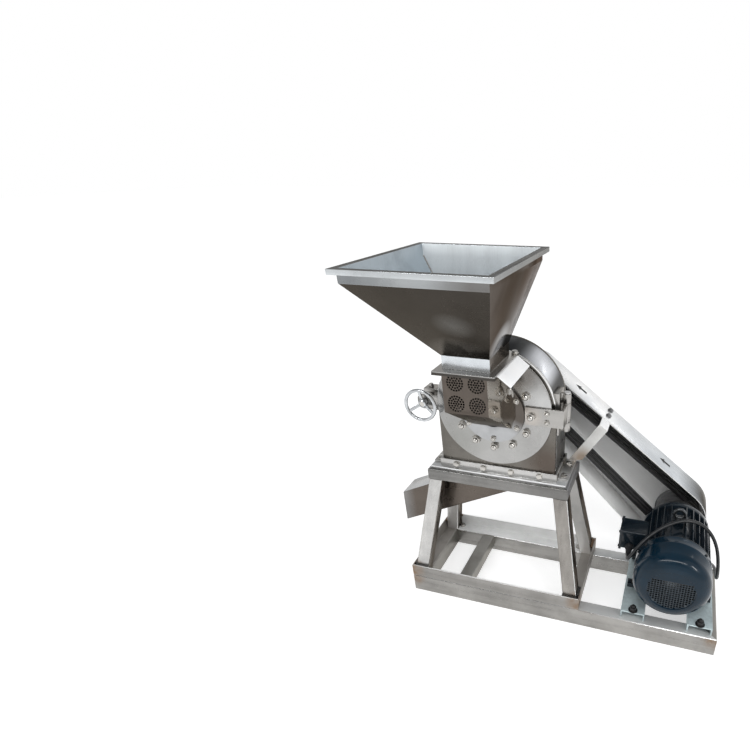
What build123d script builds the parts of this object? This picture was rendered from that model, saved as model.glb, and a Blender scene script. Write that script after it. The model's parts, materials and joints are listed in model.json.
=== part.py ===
"""A food pulverizer: a toothed-disc mill on a welded stand, driven by belts from a motor on the same base.

Millimetres, +Z up. Seen from the door side, +X is to the right and +Y to the rear.
The origin is on the floor, at the centre of the base frame's footprint.
"""
import os
from math import cos, pi, radians, sin, sqrt, tan

from build123d import *

os.makedirs("parts", exist_ok=True)

# Base frame of rectangular tube
base_length = 900.0
base_width = 286.0
base_tube_width = 40.0
base_tube_height = 60.0
tube_wall = 3.0
cross_member_x = -293.0
cross_member_size = 40.0

# Stand: a ring of angle bar, four splayed legs and a ring of tube
lower_ring_length = 522.0
angle_leg = 40.0
angle_thickness = 4.0
leg_tube = 40.0
leg_foot_gap = 0.5
leg_top_inset = 1.0
top_ring_width = 160.0
top_ring_tube_width = 40.0
top_ring_tube_height = 35.0
top_ring_height = 381.0
top_plate_thickness = 8.0
top_plate_inset = 8.0
top_plate_margin = 1.0

# Mill housing, D-shaped, standing on the top plate
shaft_x = -191.0
mill_y = 7.0
shaft_above_plate = 195.0
arch_radius = 164.0
shell_thickness = 6.0
housing_front_y = -49.0
front_plate_thickness = 8.0
chamber_depth = 95.0
back_plate_thickness = 10.0
mouth_radius = 132.0
flange_bar_height = 23.0
flange_bar_thickness = 6.0
flange_foot_width = 26.0
flange_foot_inset = 12.0

# Fasteners
bolt_across = 17.0
bolt_height = 7.0
frame_bolt_across = 14.0
frame_bolt_height = 6.0
dome_across = 19.0
dome_height = 16.0
small_across = 13.0
small_height = 9.0
dome_taper = 24.0
flange_bolt_pitch = 81.0
flange_bolt_count = 4
dome_circle_radius = 103.0
dome_count = 12
bearing_bolt_radius = 66.0
bearing_bolt_count = 6

# Main bearings and shaft
bearing_bore_radius = 20.0
bearing_outer_radius = 40.0
bearing_width = 18.0
bearing_wall = 12.0
bearing_span = 86.0
spigot_radius = 50.0
spigot_length = 10.0
spigot_front_wall = 8.0
bearing_flange_radius = 80.0
bearing_flange_thickness = 20.0
bearing_shoulder = 4.0
bearing_cover_thickness = 6.0
running_clearance = 0.03
seat_clearance = 0.05
pass_clearance = 0.4
pulley_seat_radius = 18.0
rotor_seat_radius = 16.0

# Rotor and fixed tooth disc
rotor_disc_radius = 116.0
rotor_disc_front_y = -12.0
rotor_disc_thickness = 10.0
rotor_hub_radius = 36.0
rotor_hub_length = 42.0
rotor_nut_across = 46.0
rotor_nut_height = 14.0
shaft_nose = 18.0
tooth_radial = 8.0
tooth_width = 14.0
tooth_length = 26.0
tooth_ring_pitch = 13.0
first_tooth_ring_radius = 58.0
rotor_teeth = (8, 12, 16)
fixed_teeth = (10, 14)
fixed_disc_radius = 122.0
fixed_disc_bore_radius = 46.0
fixed_disc_thickness = 8.0

# Ring sieve
sieve_radius = 128.0
sieve_thickness = 2.0
sieve_slots = 36
sieve_slot_width = 5.0
sieve_end_band = 12.0
sieve_front_gap = 2.0
sieve_seat_clearance = 0.3
sieve_seat_wall = 6.0
sieve_seat_depth = 8.0

# Door
door_radius = 157.0
door_thickness = 12.0
door_gap = 3.0
door_seal_outer_radius = 154.0
door_seal_inner_radius = 142.0
door_seal_gap = 0.3
boss_radius = 86.0
boss_thickness = 8.0
feed_hole_radius = 42.0
boss_nut_radius = 76.0

# Door hinge
hinge_x = -7.0
hinge_y = -20.0
knuckle_radius = 10.0
knuckle_length = 53.0
fixed_knuckle_length = 25.0
knuckle_gap = 0.5
pin_radius = 5.0
pin_head_radius = 8.0
pin_head_height = 4.0
strap_thickness = 6.0
strap_height = 49.0
strap_leg_thickness = 6.0
strap_end_gap = 1.0
leaf_thickness = 6.0
leaf_depth = 50.0
leaf_web = 12.0

# Door clamp
clamp_offset = 197.0
clamp_lug_thickness = 8.0
clamp_lug_reach = 20.0
clamp_lug_height = 40.0
clamp_rod_radius = 7.0
clamp_rod_tip_y = -8.0
clamp_collar_radius = 10.0
clamp_collar_length = 5.0
clamp_end_play = 0.5
clamp_hub_radius = 11.0
clamp_hub_length = 15.0
wheel_radius = 42.0
wheel_tube_radius = 4.5
wheel_dish = 8.0
wheel_spokes = 3
spoke_radius = 3.5
trunnion_width = 28.0
trunnion_height = 32.0
trunnion_bore_clearance = 1.2
trunnion_pin_radius = 6.0
trunnion_y = -12.0
ear_thickness = 8.0
ear_gap = 2.0
ear_depth = 36.0
ear_reach = 48.0
clamp_plate_thickness = 6.0

# Feed column: box, gate and hopper
feed_box_width = 106.0
feed_box_front_y = -230.0
feed_box_front_height = 90.0
feed_box_rear_height = 195.0
feed_top_above_shaft = 155.0
feed_sheet = 3.0
feed_flange_width = 146.0
feed_flange_front_y = -238.0
feed_flange_rear_y = -66.0
feed_flange_thickness = 3.0
gate_thickness = 2.0
gate_clearance = 0.5
gate_guide_width = 15.0
gate_bend_overhang = 3.0
gate_handle_length = 36.0
gate_handle_angle = 38.0
vent_spacing_x = 49.0
vent_spacing_z = 48.0
vent_row_drop = 41.0
vent_hole = 6.0
vent_hole_pitch = 9.0
wing_screw_radius = 4.0
wing_screw_clearance = 0.3
wing_screw_inset = 8.0
wing_screw_y = -121.0
wing_screw_length = 88.0
wing_head_radius = 10.5
wing_head_height = 24.0
hopper_sheet = 2.5
neck_width = 112.0
neck_depth = 130.0
neck_height = 30.0
hopper_height = 203.5
hopper_width = 284.0
hopper_depth = 326.0
hopper_y = -224.0
hopper_x = -205.0
hopper_band_height = 26.0
rim_width = 12.0
rim_height = 10.0
feed_bolt_inset = 8.0

# Discharge chute
chute_length = 410.0
chute_mouth_height = 105.0
chute_width = 76.0
chute_throat_length = 211.0
chute_throat_right = 86.0
chute_mouth_z = 181.0
chute_slope = 26.45
chute_sheet = 2.0

# Motor on its rails
motor_x = 312.0
motor_shaft_height = 112.0
rail_spread = 90.0
rail_width = 66.0
rail_height = 24.0
rail_thickness = 4.0
rail_length = 262.0
rail_bolt_inset = 10.0
frame_radius = 86.0
frame_wall = 24.0
fin_radius = 100.0
fin_thickness = 3.0
fin_count = 30
fin_root = 2.0
fin_gaps = ((80, 100), (150, 195), (225, 315))
frame_front_y = -34.0
frame_length = 152.0
foot_bolt_x = 95.0
foot_bolt_y = 101.0
foot_bolt_span = 124.0
foot_outer_x = 117.0
foot_inner_x = 60.0
foot_thickness = 13.0
foot_length = 22.0
foot_web_top = 52.0
shield_rim_radius = 97.0
shield_rim_length = 18.0
shield_length = 47.0
shield_boss_radius = 45.0
shield_cone_length = 14.0
rear_shield_thickness = 12.0
cowl_seat_thickness = 4.0
cowl_radius = 103.0
cowl_length = 101.0
cowl_corner_radius = 37.0
cowl_sheet = 3.0
cowl_seat_clearance = 0.3
cowl_slot_rings = (24.0, 42.0, 57.0)
cowl_slot_length = 13.0
cowl_slot_width = 7.0
cowl_slot_counts = (8, 12, 16)
motor_journal_radius = 15.0
motor_seat_radius = 14.0
motor_core_radius = 61.5
motor_core_length = 120.0
fan_radius = 85.0
fan_hub_radius = 24.0
fan_depth = 35.0
fan_blades = 7
fan_blade_thickness = 4.0
fan_blade_root = 1.0
fan_gap = 23.0
lift_pad_width = 28.0
lift_pad_length = 36.0
lift_pad_y = 48.0
eye_ring_radius = 14.0
eye_wire_radius = 4.5
eye_collar_radius = 13.0
eye_collar_height = 5.0
terminal_left = -150.0
terminal_lid = 7.0
terminal_front_y = 10.0
terminal_rear_y = 80.0
terminal_bottom = -10.0
terminal_top = 54.0

# Belt drive
pulley_width = 66.0
pulley_front_y = 184.0
pulley_end_gap = 4.0
rotor_pulley_radius = 41.0
motor_pulley_radius = 70.0
groove_count = 3
groove_pitch = 20.0
groove_half_width = 8.6
groove_depth = 14.0
groove_angle = 18.0
belt_thickness = 11.0
belt_proud = 0.3
belt_clearance = 0.42

# Belt guard
guard_sheet = 3.0
guard_front_y = 177.0
guard_depth = 96.0
guard_upper_radius = 78.4
guard_lower_radius = 118.0
guard_upper_shift = 27.0
guard_lower_shift = 24.0
guard_upper_lift = 2.5
guard_lower_drop = 16.2
guard_edge_radius = 4.0
strip_width = 30.0
strip_thickness = 4.0
strip_along = 272.0
strip_front_y = 130.0
strip_rear_y = 255.0
strip_foot_y = 75.5
guard_bolt_ys = (205.0, 244.0)

# Power cord, coil and plug
cord_radius = 5.0
gland_x = 186.0
gland_z = 200.0
gland_nut_across = 22.0
gland_nut_length = 12.0
gland_sleeve_step = 1.0
gland_sleeve_length = 16.0
gland_tip_radius = 6.5
coil_x = 290.0
coil_y = 330.0
coil_outer_radius = 62.0
coil_turns = 2
coil_pitch = 11.0
coil_layer_gap = 0.8
coil_lead = 10.0
coil_tail = 47.0
tie_thickness = 1.2
tie_clearance = 0.4
tie_side_clearance = 1.2
tie_width = 12.0
plug_floor_gap = 0.3
plug_length = 46.0
plug_neck_radius = 8.0
plug_neck_length = 12.0
pin_length = 19.0
plug_pin_radius = 2.4
plug_pin_circle = 8.0

# Places worked out from the sizes above
base_left = -base_length / 2
flange_half = arch_radius + flange_bar_thickness
plate_length = 2 * (flange_half + flange_foot_width + top_plate_margin)
top_ring_length = plate_length + 2 * top_plate_inset
lower_ring_x = base_left + lower_ring_length / 2
foot_z = base_tube_height + angle_thickness
top_plate_z = top_ring_height + top_ring_tube_height
plate_top_z = top_plate_z + top_plate_thickness
shaft_z = plate_top_z + shaft_above_plate
shell_front_y = housing_front_y + front_plate_thickness
back_plate_y = shell_front_y + chamber_depth
housing_back_y = back_plate_y + back_plate_thickness
door_back_y = housing_front_y - door_gap
door_front_y = door_back_y - door_thickness
boss_front_y = door_front_y - boss_thickness
strap_front_y = door_front_y - strap_thickness
clamp_x = shaft_x - clamp_offset
knuckle_bottom_z = shaft_z - knuckle_length / 2
feed_top_z = shaft_z + feed_top_above_shaft
vent_row_z = feed_top_z - vent_row_drop
gate_slot_z = feed_top_z + feed_flange_thickness
hopper_flange_z = gate_slot_z + gate_thickness + 2 * gate_clearance
feed_flange_y = (feed_flange_front_y + feed_flange_rear_y) / 2
feed_flange_depth = feed_flange_rear_y - feed_flange_front_y
neck_bottom_z = hopper_flange_z + feed_flange_thickness
neck_top_z = neck_bottom_z + neck_height
hopper_top_z = neck_top_z + hopper_height
rail_top_z = base_tube_height + rail_height
motor_z = rail_top_z + motor_shaft_height
frame_back_y = frame_front_y + frame_length
bearing_flange_back_y = housing_back_y + bearing_flange_thickness
first_bearing_y = back_plate_y + spigot_front_wall
second_bearing_y = first_bearing_y + bearing_span
barrel_back_y = second_bearing_y + bearing_width + bearing_shoulder / 2
barrel_radius = bearing_outer_radius + bearing_wall
rotor_hub_back_y = rotor_disc_front_y + rotor_hub_length
pulley_back_y = pulley_front_y + pulley_width


def save(builder, name):
    """Labels one finished piece and writes it."""
    builder.part.label = name
    export_step(builder.part, f"parts/{name}.step")


def door_side(y, x=0.0, z=0.0):
    """The upright plane at depth y, seen from the door side: X right, Z up, extrusions towards the door."""
    return Plane(origin=(x, y, z), x_dir=(1, 0, 0), z_dir=(0, -1, 0))


def rear_side(y, x=0.0, z=0.0):
    """The upright plane at depth y, seen from the rear, with extrusions towards the rear."""
    return Plane(origin=(x, y, z), x_dir=(-1, 0, 0), z_dir=(0, 1, 0))


def block(x_limits, y_limits, z_limits, mode=Mode.ADD):
    """A rectangular block between its limits."""
    spans = [limits[1] - limits[0] for limits in (x_limits, y_limits, z_limits)]
    middle = [(limits[0] + limits[1]) / 2 for limits in (x_limits, y_limits, z_limits)]
    with Locations(tuple(middle)):
        Box(*spans, mode=mode)


def level(z, x, y, width, depth):
    """A rectangle lying level at height z."""
    with BuildSketch(Plane.XY.offset(z)) as section:
        with Locations((x, y)):
            Rectangle(width, depth)
    return section.sketch


def disc(x, z, radius, y_limits, mode=Mode.ADD):
    """A round disc about the axis along Y through (x, z)."""
    with BuildSketch(door_side(y_limits[1], x, z)) as outline:
        Circle(radius)
    extrude(outline.sketch, amount=y_limits[1] - y_limits[0], mode=mode)


def turn(x, z, profile, mode=Mode.ADD):
    """A turned form about the axis along Y through (x, z), from its (radius, y) outline."""
    with BuildSketch(Plane(origin=(x, 0, z), x_dir=(1, 0, 0), z_dir=(0, 0, 1))) as outline:
        Polygon(*profile, align=None)
    revolve(outline.sketch, axis=Axis((x, 0, z), (0, 1, 0)), mode=mode)


def housing_outline(y, radius, drop):
    """The housing's D shape: a half round over straight sides that reach down by drop."""
    with BuildSketch(door_side(y, shaft_x, shaft_z)) as outline:
        Circle(radius)
        with Locations((0, -drop / 2)):
            Rectangle(2 * radius, drop)
    return outline.sketch


def heads(plane, points, across, height):
    """Hexagon heads standing on a plane at the given points."""
    with BuildSketch(plane) as outline:
        with Locations(*points):
            RegularPolygon(across / 2, 6, major_radius=False)
    extrude(outline.sketch, amount=height)


def domes(plane, points, across, height):
    """Domed nuts standing on a plane: a hexagon below, drawn in above."""
    heads(plane, points, across, height / 2)
    with BuildSketch(plane.offset(height / 2)) as upper:
        with Locations(*points):
            RegularPolygon(across / 2, 6, major_radius=False)
    extrude(upper.sketch, amount=height / 2, taper=dome_taper)


def on_circle(radius, angles, start=(0.0, 0.0)):
    """Points on a circle at angles in degrees."""
    return [(start[0] + radius * cos(radians(a)), start[1] + radius * sin(radians(a))) for a in angles]


def rod(start, end, radius):
    """A round rod between two points."""
    run = Vector(*end) - Vector(*start)
    with BuildSketch(Plane(origin=start, z_dir=run.normalized())) as section:
        Circle(radius)
    extrude(section.sketch, amount=run.length)


# Base frame
def mitred_tube(side, run, tube_width, z, height):
    """One side of a rectangular tube ring about the origin of its plane, with mitred open ends."""
    half = run / 2
    inner = half - tube_width
    with BuildSketch(side.offset(z)) as outline:
        Polygon((-half, 0), (half, 0), (inner, tube_width), (-inner, tube_width), align=None)
    extrude(outline.sketch, amount=height)
    near = tube_wall
    far = tube_width - tube_wall
    with BuildSketch(side.offset(z + tube_wall)) as bore:
        Polygon((near - half, near), (half - near, near), (half - far, far), (far - half, far), align=None)
    extrude(bore.sketch, amount=height - 2 * tube_wall, mode=Mode.SUBTRACT)


def ring_side(x, y, turn_degrees):
    """A level plane on one outer side of a ring, with its Y axis pointing into the ring."""
    return Plane(Location((x, y, 0), (0, 0, turn_degrees)))


with BuildPart() as long_rails:
    mitred_tube(ring_side(0, -base_width / 2, 0), base_length, base_tube_width, 0, base_tube_height)
    mitred_tube(ring_side(0, base_width / 2, 180), base_length, base_tube_width, 0, base_tube_height)
save(long_rails, "long_rails")

with BuildPart() as cross_rails:
    mitred_tube(ring_side(base_left, 0, -90), base_width, base_tube_width, 0, base_tube_height)
    mitred_tube(ring_side(-base_left, 0, 90), base_width, base_tube_width, 0, base_tube_height)
    inner_half = base_width / 2 - base_tube_width
    with BuildSketch(door_side(inner_half, cross_member_x, base_tube_height - cross_member_size / 2)):
        Rectangle(cross_member_size, cross_member_size)
        Rectangle(cross_member_size - 2 * tube_wall, cross_member_size - 2 * tube_wall, mode=Mode.SUBTRACT)
    extrude(amount=2 * inner_half)
save(cross_rails, "cross_rails")


# Stand
def mitred_angle(side, run):
    """One angle bar of the lower ring: upright leg outside, level leg on the base."""
    half = run / 2
    inner = half - angle_leg
    with BuildSketch(side.offset(base_tube_height)) as outline:
        Polygon((-half, 0), (half, 0), (inner, angle_leg), (-inner, angle_leg), align=None)
    extrude(outline.sketch, amount=angle_leg)
    near = half - angle_thickness
    with BuildSketch(side.offset(foot_z)) as hollow:
        Polygon((-near, angle_thickness), (near, angle_thickness), (inner, angle_leg), (-inner, angle_leg),
                align=None)
    extrude(hollow.sketch, amount=angle_leg - angle_thickness, mode=Mode.SUBTRACT)


with BuildPart() as stand_ring_sides:
    mitred_angle(ring_side(lower_ring_x, -base_width / 2, 0), lower_ring_length)
    mitred_angle(ring_side(lower_ring_x, base_width / 2, 180), lower_ring_length)
save(stand_ring_sides, "stand_ring_sides")

with BuildPart() as stand_ring_ends:
    mitred_angle(ring_side(base_left, 0, -90), base_width)
    mitred_angle(ring_side(base_left + lower_ring_length, 0, 90), base_width)
save(stand_ring_ends, "stand_ring_ends")

with BuildPart() as stand_legs:
    foot_half_x = lower_ring_length / 2 - angle_thickness - leg_foot_gap - leg_tube / 2
    foot_half_y = base_width / 2 - angle_thickness - leg_foot_gap - leg_tube / 2
    top_half_x = top_ring_length / 2 - leg_top_inset - leg_tube / 2
    top_half_y = top_ring_width / 2 - leg_top_inset - leg_tube / 2
    bore_size = leg_tube - 2 * tube_wall
    for side_x in (-1, 1):
        for side_y in (-1, 1):
            foot_place = (lower_ring_x + side_x * foot_half_x, side_y * foot_half_y)
            top_place = (shaft_x + side_x * top_half_x, mill_y + side_y * top_half_y)
            loft([level(foot_z, *foot_place, leg_tube, leg_tube),
                  level(top_ring_height, *top_place, leg_tube, leg_tube)])
            loft([level(foot_z, *foot_place, bore_size, bore_size),
                  level(top_ring_height, *top_place, bore_size, bore_size)], mode=Mode.SUBTRACT)
save(stand_legs, "stand_legs")

with BuildPart() as top_ring_sides:
    for side_y, turned in ((-1, 0), (1, 180)):
        ring_face = ring_side(shaft_x, mill_y + side_y * top_ring_width / 2, turned)
        mitred_tube(ring_face, top_ring_length, top_ring_tube_width, top_ring_height, top_ring_tube_height)
save(top_ring_sides, "top_ring_sides")

with BuildPart() as top_ring_ends:
    for side_x, turned in ((-1, -90), (1, 90)):
        ring_face = ring_side(shaft_x + side_x * top_ring_length / 2, mill_y, turned)
        mitred_tube(ring_face, top_ring_width, top_ring_tube_width, top_ring_height, top_ring_tube_height)
save(top_ring_ends, "top_ring_ends")

chute_right = shaft_x + chute_throat_right
chute_throat_left = chute_right - chute_throat_length
chute_throat_x = (chute_right + chute_throat_left) / 2
throat_inner_length = chute_throat_length - 2 * chute_sheet
throat_inner_width = chute_width - 2 * chute_sheet
plate_width = top_ring_width - 2 * top_plate_inset

with BuildPart() as top_plate:
    extrude(level(top_plate_z, shaft_x, mill_y, plate_length, plate_width), amount=top_plate_thickness)
    extrude(level(top_plate_z, chute_throat_x, mill_y, throat_inner_length, throat_inner_width),
            amount=top_plate_thickness, mode=Mode.SUBTRACT)
save(top_plate, "top_plate")

# Mill housing
with BuildPart() as housing_shell:
    extrude(housing_outline(back_plate_y, arch_radius, shaft_above_plate), amount=chamber_depth)
    extrude(housing_outline(back_plate_y, arch_radius - shell_thickness, shaft_above_plate),
            amount=chamber_depth, mode=Mode.SUBTRACT)
save(housing_shell, "housing_shell")

with BuildPart() as housing_front_plate:
    extrude(housing_outline(shell_front_y, arch_radius, shaft_above_plate), amount=front_plate_thickness)
    disc(shaft_x, shaft_z, mouth_radius, (housing_front_y, shell_front_y), Mode.SUBTRACT)
save(housing_front_plate, "housing_front_plate")

sieve_seat_radius = sieve_radius + sieve_seat_clearance
with BuildPart() as housing_back_plate:
    extrude(housing_outline(housing_back_y, arch_radius, shaft_above_plate), amount=back_plate_thickness)
    disc(shaft_x, shaft_z, spigot_radius + seat_clearance, (back_plate_y, housing_back_y), Mode.SUBTRACT)
    turn(shaft_x, shaft_z, [(sieve_seat_radius, back_plate_y),
                            (sieve_seat_radius + sieve_seat_wall, back_plate_y),
                            (sieve_seat_radius + sieve_seat_wall, back_plate_y - sieve_seat_depth),
                            (sieve_seat_radius, back_plate_y - sieve_seat_depth)])
save(housing_back_plate, "housing_back_plate")

flange_z_limits = (plate_top_z, plate_top_z + flange_bar_height)
flange_y_limits = (housing_front_y - flange_bar_thickness, housing_back_y + flange_bar_thickness)
with BuildPart() as housing_flange:
    block((shaft_x - flange_half, shaft_x + flange_half), flange_y_limits, flange_z_limits)
    block((shaft_x - arch_radius, shaft_x + arch_radius), (housing_front_y, housing_back_y), flange_z_limits,
          Mode.SUBTRACT)
    foot_y_limits = (flange_y_limits[0] + flange_foot_inset, flange_y_limits[1] - flange_foot_inset)
    for side_x in (-1, 1):
        foot_x_limits = sorted((shaft_x + side_x * flange_half,
                                shaft_x + side_x * (flange_half + flange_foot_width)))
        block(foot_x_limits, foot_y_limits, (plate_top_z, plate_top_z + flange_bar_thickness))
save(housing_flange, "housing_flange")

with BuildPart() as rear_dome_nuts:
    domes(rear_side(housing_back_y, shaft_x, shaft_z),
          on_circle(dome_circle_radius, range(0, 360, 360 // dome_count)), dome_across, dome_height)
    domes(rear_side(bearing_flange_back_y, shaft_x, shaft_z),
          on_circle(bearing_bolt_radius, range(30, 390, 360 // bearing_bolt_count)),
          dome_across, dome_height)
save(rear_dome_nuts, "rear_dome_nuts")

# Main bearings, shaft and rotor
seat_radius = bearing_outer_radius + seat_clearance
middle_bore_radius = bearing_outer_radius - bearing_shoulder
shaft_pass_radius = bearing_bore_radius + pass_clearance
with BuildPart() as bearing_housing:
    turn(shaft_x, shaft_z, [(shaft_pass_radius, back_plate_y),
                            (spigot_radius, back_plate_y),
                            (spigot_radius, back_plate_y + spigot_length),
                            (bearing_flange_radius, housing_back_y),
                            (bearing_flange_radius, bearing_flange_back_y),
                            (barrel_radius, bearing_flange_back_y),
                            (barrel_radius, barrel_back_y),
                            (seat_radius, barrel_back_y),
                            (seat_radius, second_bearing_y),
                            (middle_bore_radius, second_bearing_y),
                            (middle_bore_radius, first_bearing_y + bearing_width),
                            (seat_radius, first_bearing_y + bearing_width),
                            (seat_radius, first_bearing_y),
                            (shaft_pass_radius, first_bearing_y)])
save(bearing_housing, "bearing_housing")

with BuildPart() as main_bearings:
    for front in (first_bearing_y, second_bearing_y):
        disc(shaft_x, shaft_z, bearing_outer_radius, (front, front + bearing_width))
        disc(shaft_x, shaft_z, bearing_bore_radius + running_clearance, (front, front + bearing_width),
             Mode.SUBTRACT)
save(main_bearings, "main_bearings")

bearing_cover_back_y = barrel_back_y + bearing_cover_thickness
with BuildPart() as bearing_cover:
    disc(shaft_x, shaft_z, barrel_radius, (barrel_back_y, bearing_cover_back_y))
    disc(shaft_x, shaft_z, shaft_pass_radius, (barrel_back_y, bearing_cover_back_y), Mode.SUBTRACT)
save(bearing_cover, "bearing_cover")

shaft_front_y = rotor_disc_front_y - shaft_nose
shaft_shoulder_y = pulley_front_y - pulley_end_gap
shaft_back_y = pulley_back_y + pulley_end_gap
with BuildPart() as main_shaft:
    turn(shaft_x, shaft_z, [(0, shaft_front_y),
                            (rotor_seat_radius, shaft_front_y),
                            (rotor_seat_radius, rotor_hub_back_y),
                            (bearing_bore_radius, rotor_hub_back_y),
                            (bearing_bore_radius, shaft_shoulder_y),
                            (pulley_seat_radius, shaft_shoulder_y),
                            (pulley_seat_radius, shaft_back_y),
                            (0, shaft_back_y)])
save(main_shaft, "main_shaft")


def tooth_ring(radius, count, y_limits):
    """A ring of upright teeth pointing along Y."""
    with BuildSketch(door_side(y_limits[1], shaft_x, shaft_z)) as outline:
        with PolarLocations(radius, count):
            Rectangle(tooth_radial, tooth_width)
    extrude(outline.sketch, amount=y_limits[1] - y_limits[0])


rotor_disc_back_y = rotor_disc_front_y + rotor_disc_thickness
with BuildPart() as rotor_disc:
    disc(shaft_x, shaft_z, rotor_disc_radius, (rotor_disc_front_y, rotor_disc_back_y))
    disc(shaft_x, shaft_z, rotor_hub_radius, (rotor_disc_front_y, rotor_hub_back_y))
    for ring, count in enumerate(rotor_teeth):
        tooth_ring(first_tooth_ring_radius + 2 * ring * tooth_ring_pitch, count,
                   (rotor_disc_front_y - tooth_length, rotor_disc_front_y))
    disc(shaft_x, shaft_z, rotor_seat_radius, (rotor_disc_front_y, rotor_hub_back_y), Mode.SUBTRACT)
save(rotor_disc, "rotor_disc")

with BuildPart() as rotor_nut:
    heads(door_side(rotor_disc_front_y, shaft_x, shaft_z), [(0, 0)], rotor_nut_across, rotor_nut_height)
    disc(shaft_x, shaft_z, rotor_seat_radius, (rotor_disc_front_y - rotor_nut_height, rotor_disc_front_y),
         Mode.SUBTRACT)
save(rotor_nut, "rotor_nut")

sieve_front_y = housing_front_y + front_plate_thickness + sieve_front_gap
sieve_length = back_plate_y - sieve_front_y
with BuildPart() as ring_sieve:
    disc(shaft_x, shaft_z, sieve_radius, (sieve_front_y, back_plate_y))
    disc(shaft_x, shaft_z, sieve_radius - sieve_thickness, (sieve_front_y, back_plate_y), Mode.SUBTRACT)
    with BuildSketch(door_side(back_plate_y - sieve_end_band, shaft_x, shaft_z)):
        with PolarLocations(sieve_radius, sieve_slots):
            Rectangle(4 * sieve_thickness, sieve_slot_width)
    extrude(amount=sieve_length - 2 * sieve_end_band, mode=Mode.SUBTRACT)
save(ring_sieve, "ring_sieve")

# Door
with BuildPart() as door_disc:
    disc(shaft_x, shaft_z, door_radius, (door_front_y, door_back_y))
    disc(shaft_x, shaft_z, feed_hole_radius, (door_front_y, door_back_y), Mode.SUBTRACT)
save(door_disc, "door_disc")

with BuildPart() as door_seal:
    seal_limits = (door_back_y, housing_front_y - door_seal_gap)
    disc(shaft_x, shaft_z, door_seal_outer_radius, seal_limits)
    disc(shaft_x, shaft_z, door_seal_inner_radius, seal_limits, Mode.SUBTRACT)
save(door_seal, "door_seal")

with BuildPart() as door_boss:
    disc(shaft_x, shaft_z, boss_radius, (boss_front_y, door_front_y))
    disc(shaft_x, shaft_z, feed_hole_radius, (boss_front_y, door_front_y), Mode.SUBTRACT)
save(door_boss, "door_boss")

with BuildPart() as fixed_tooth_disc:
    fixed_front_y = door_back_y + fixed_disc_thickness
    disc(shaft_x, shaft_z, fixed_disc_radius, (door_back_y, fixed_front_y))
    disc(shaft_x, shaft_z, fixed_disc_bore_radius, (door_back_y, fixed_front_y), Mode.SUBTRACT)
    for ring, count in enumerate(fixed_teeth):
        tooth_ring(first_tooth_ring_radius + (2 * ring + 1) * tooth_ring_pitch, count,
                   (fixed_front_y, fixed_front_y + tooth_length))
save(fixed_tooth_disc, "fixed_tooth_disc")

with BuildPart() as door_dome_nuts:
    domes(door_side(door_front_y, shaft_x, shaft_z),
          on_circle(dome_circle_radius, (30, 150, 180, 210, 240, 270, 300, 330)), dome_across, dome_height)
    domes(door_side(strap_front_y, shaft_x, shaft_z), [(dome_circle_radius, 0)], dome_across, dome_height)
save(door_dome_nuts, "door_dome_nuts")

# Door hinge
knuckle_z_limits = (knuckle_bottom_z, knuckle_bottom_z + knuckle_length)
lower_knuckle_top_z = knuckle_z_limits[0] - knuckle_gap
upper_knuckle_bottom_z = knuckle_z_limits[1] + knuckle_gap
lower_knuckle_limits = (lower_knuckle_top_z - fixed_knuckle_length, lower_knuckle_top_z)
upper_knuckle_limits = (upper_knuckle_bottom_z, upper_knuckle_bottom_z + fixed_knuckle_length)
strap_z_limits = (shaft_z - strap_height / 2, shaft_z + strap_height / 2)
pin_bore_radius = pin_radius + running_clearance


def knuckle(z_limits, radius, mode=Mode.ADD):
    """A round barrel on the hinge line."""
    with BuildSketch(Plane.XY.offset(z_limits[0])) as outline:
        with Locations((hinge_x, hinge_y)):
            Circle(radius)
    extrude(outline.sketch, amount=z_limits[1] - z_limits[0], mode=mode)


with BuildPart() as hinge_strap:
    strap_end_x = hinge_x + strap_leg_thickness / 2
    strap_start_x = shaft_x + boss_radius + strap_end_gap
    block((strap_start_x, strap_end_x), (strap_front_y, door_front_y), strap_z_limits)
    block((hinge_x - strap_leg_thickness / 2, strap_end_x), (strap_front_y, hinge_y), strap_z_limits)
    knuckle(knuckle_z_limits, knuckle_radius)
    knuckle(knuckle_z_limits, pin_bore_radius, Mode.SUBTRACT)
save(hinge_strap, "hinge_strap")

leaf_x = shaft_x + arch_radius
with BuildPart() as hinge_leaf:
    leaf_z_limits = (lower_knuckle_limits[0] - leaf_thickness, upper_knuckle_limits[1] + leaf_thickness)
    leaf_y_limits = (hinge_y - leaf_depth / 2, hinge_y + leaf_depth / 2)
    block((shaft_x, leaf_x + leaf_thickness), leaf_y_limits, leaf_z_limits)
    extrude(housing_outline(leaf_y_limits[1], arch_radius, shaft_above_plate), amount=leaf_depth,
            mode=Mode.SUBTRACT)
    for limits in (lower_knuckle_limits, upper_knuckle_limits):
        block((leaf_x, hinge_x), (hinge_y - leaf_web / 2, hinge_y + leaf_web / 2), limits)
        knuckle(limits, knuckle_radius)
        knuckle(limits, pin_radius, Mode.SUBTRACT)
save(hinge_leaf, "hinge_leaf")

with BuildPart() as hinge_pin:
    knuckle((lower_knuckle_limits[0], upper_knuckle_limits[1]), pin_radius)
    knuckle((upper_knuckle_limits[1], upper_knuckle_limits[1] + pin_head_height), pin_head_radius)
save(hinge_pin, "hinge_pin")

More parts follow.
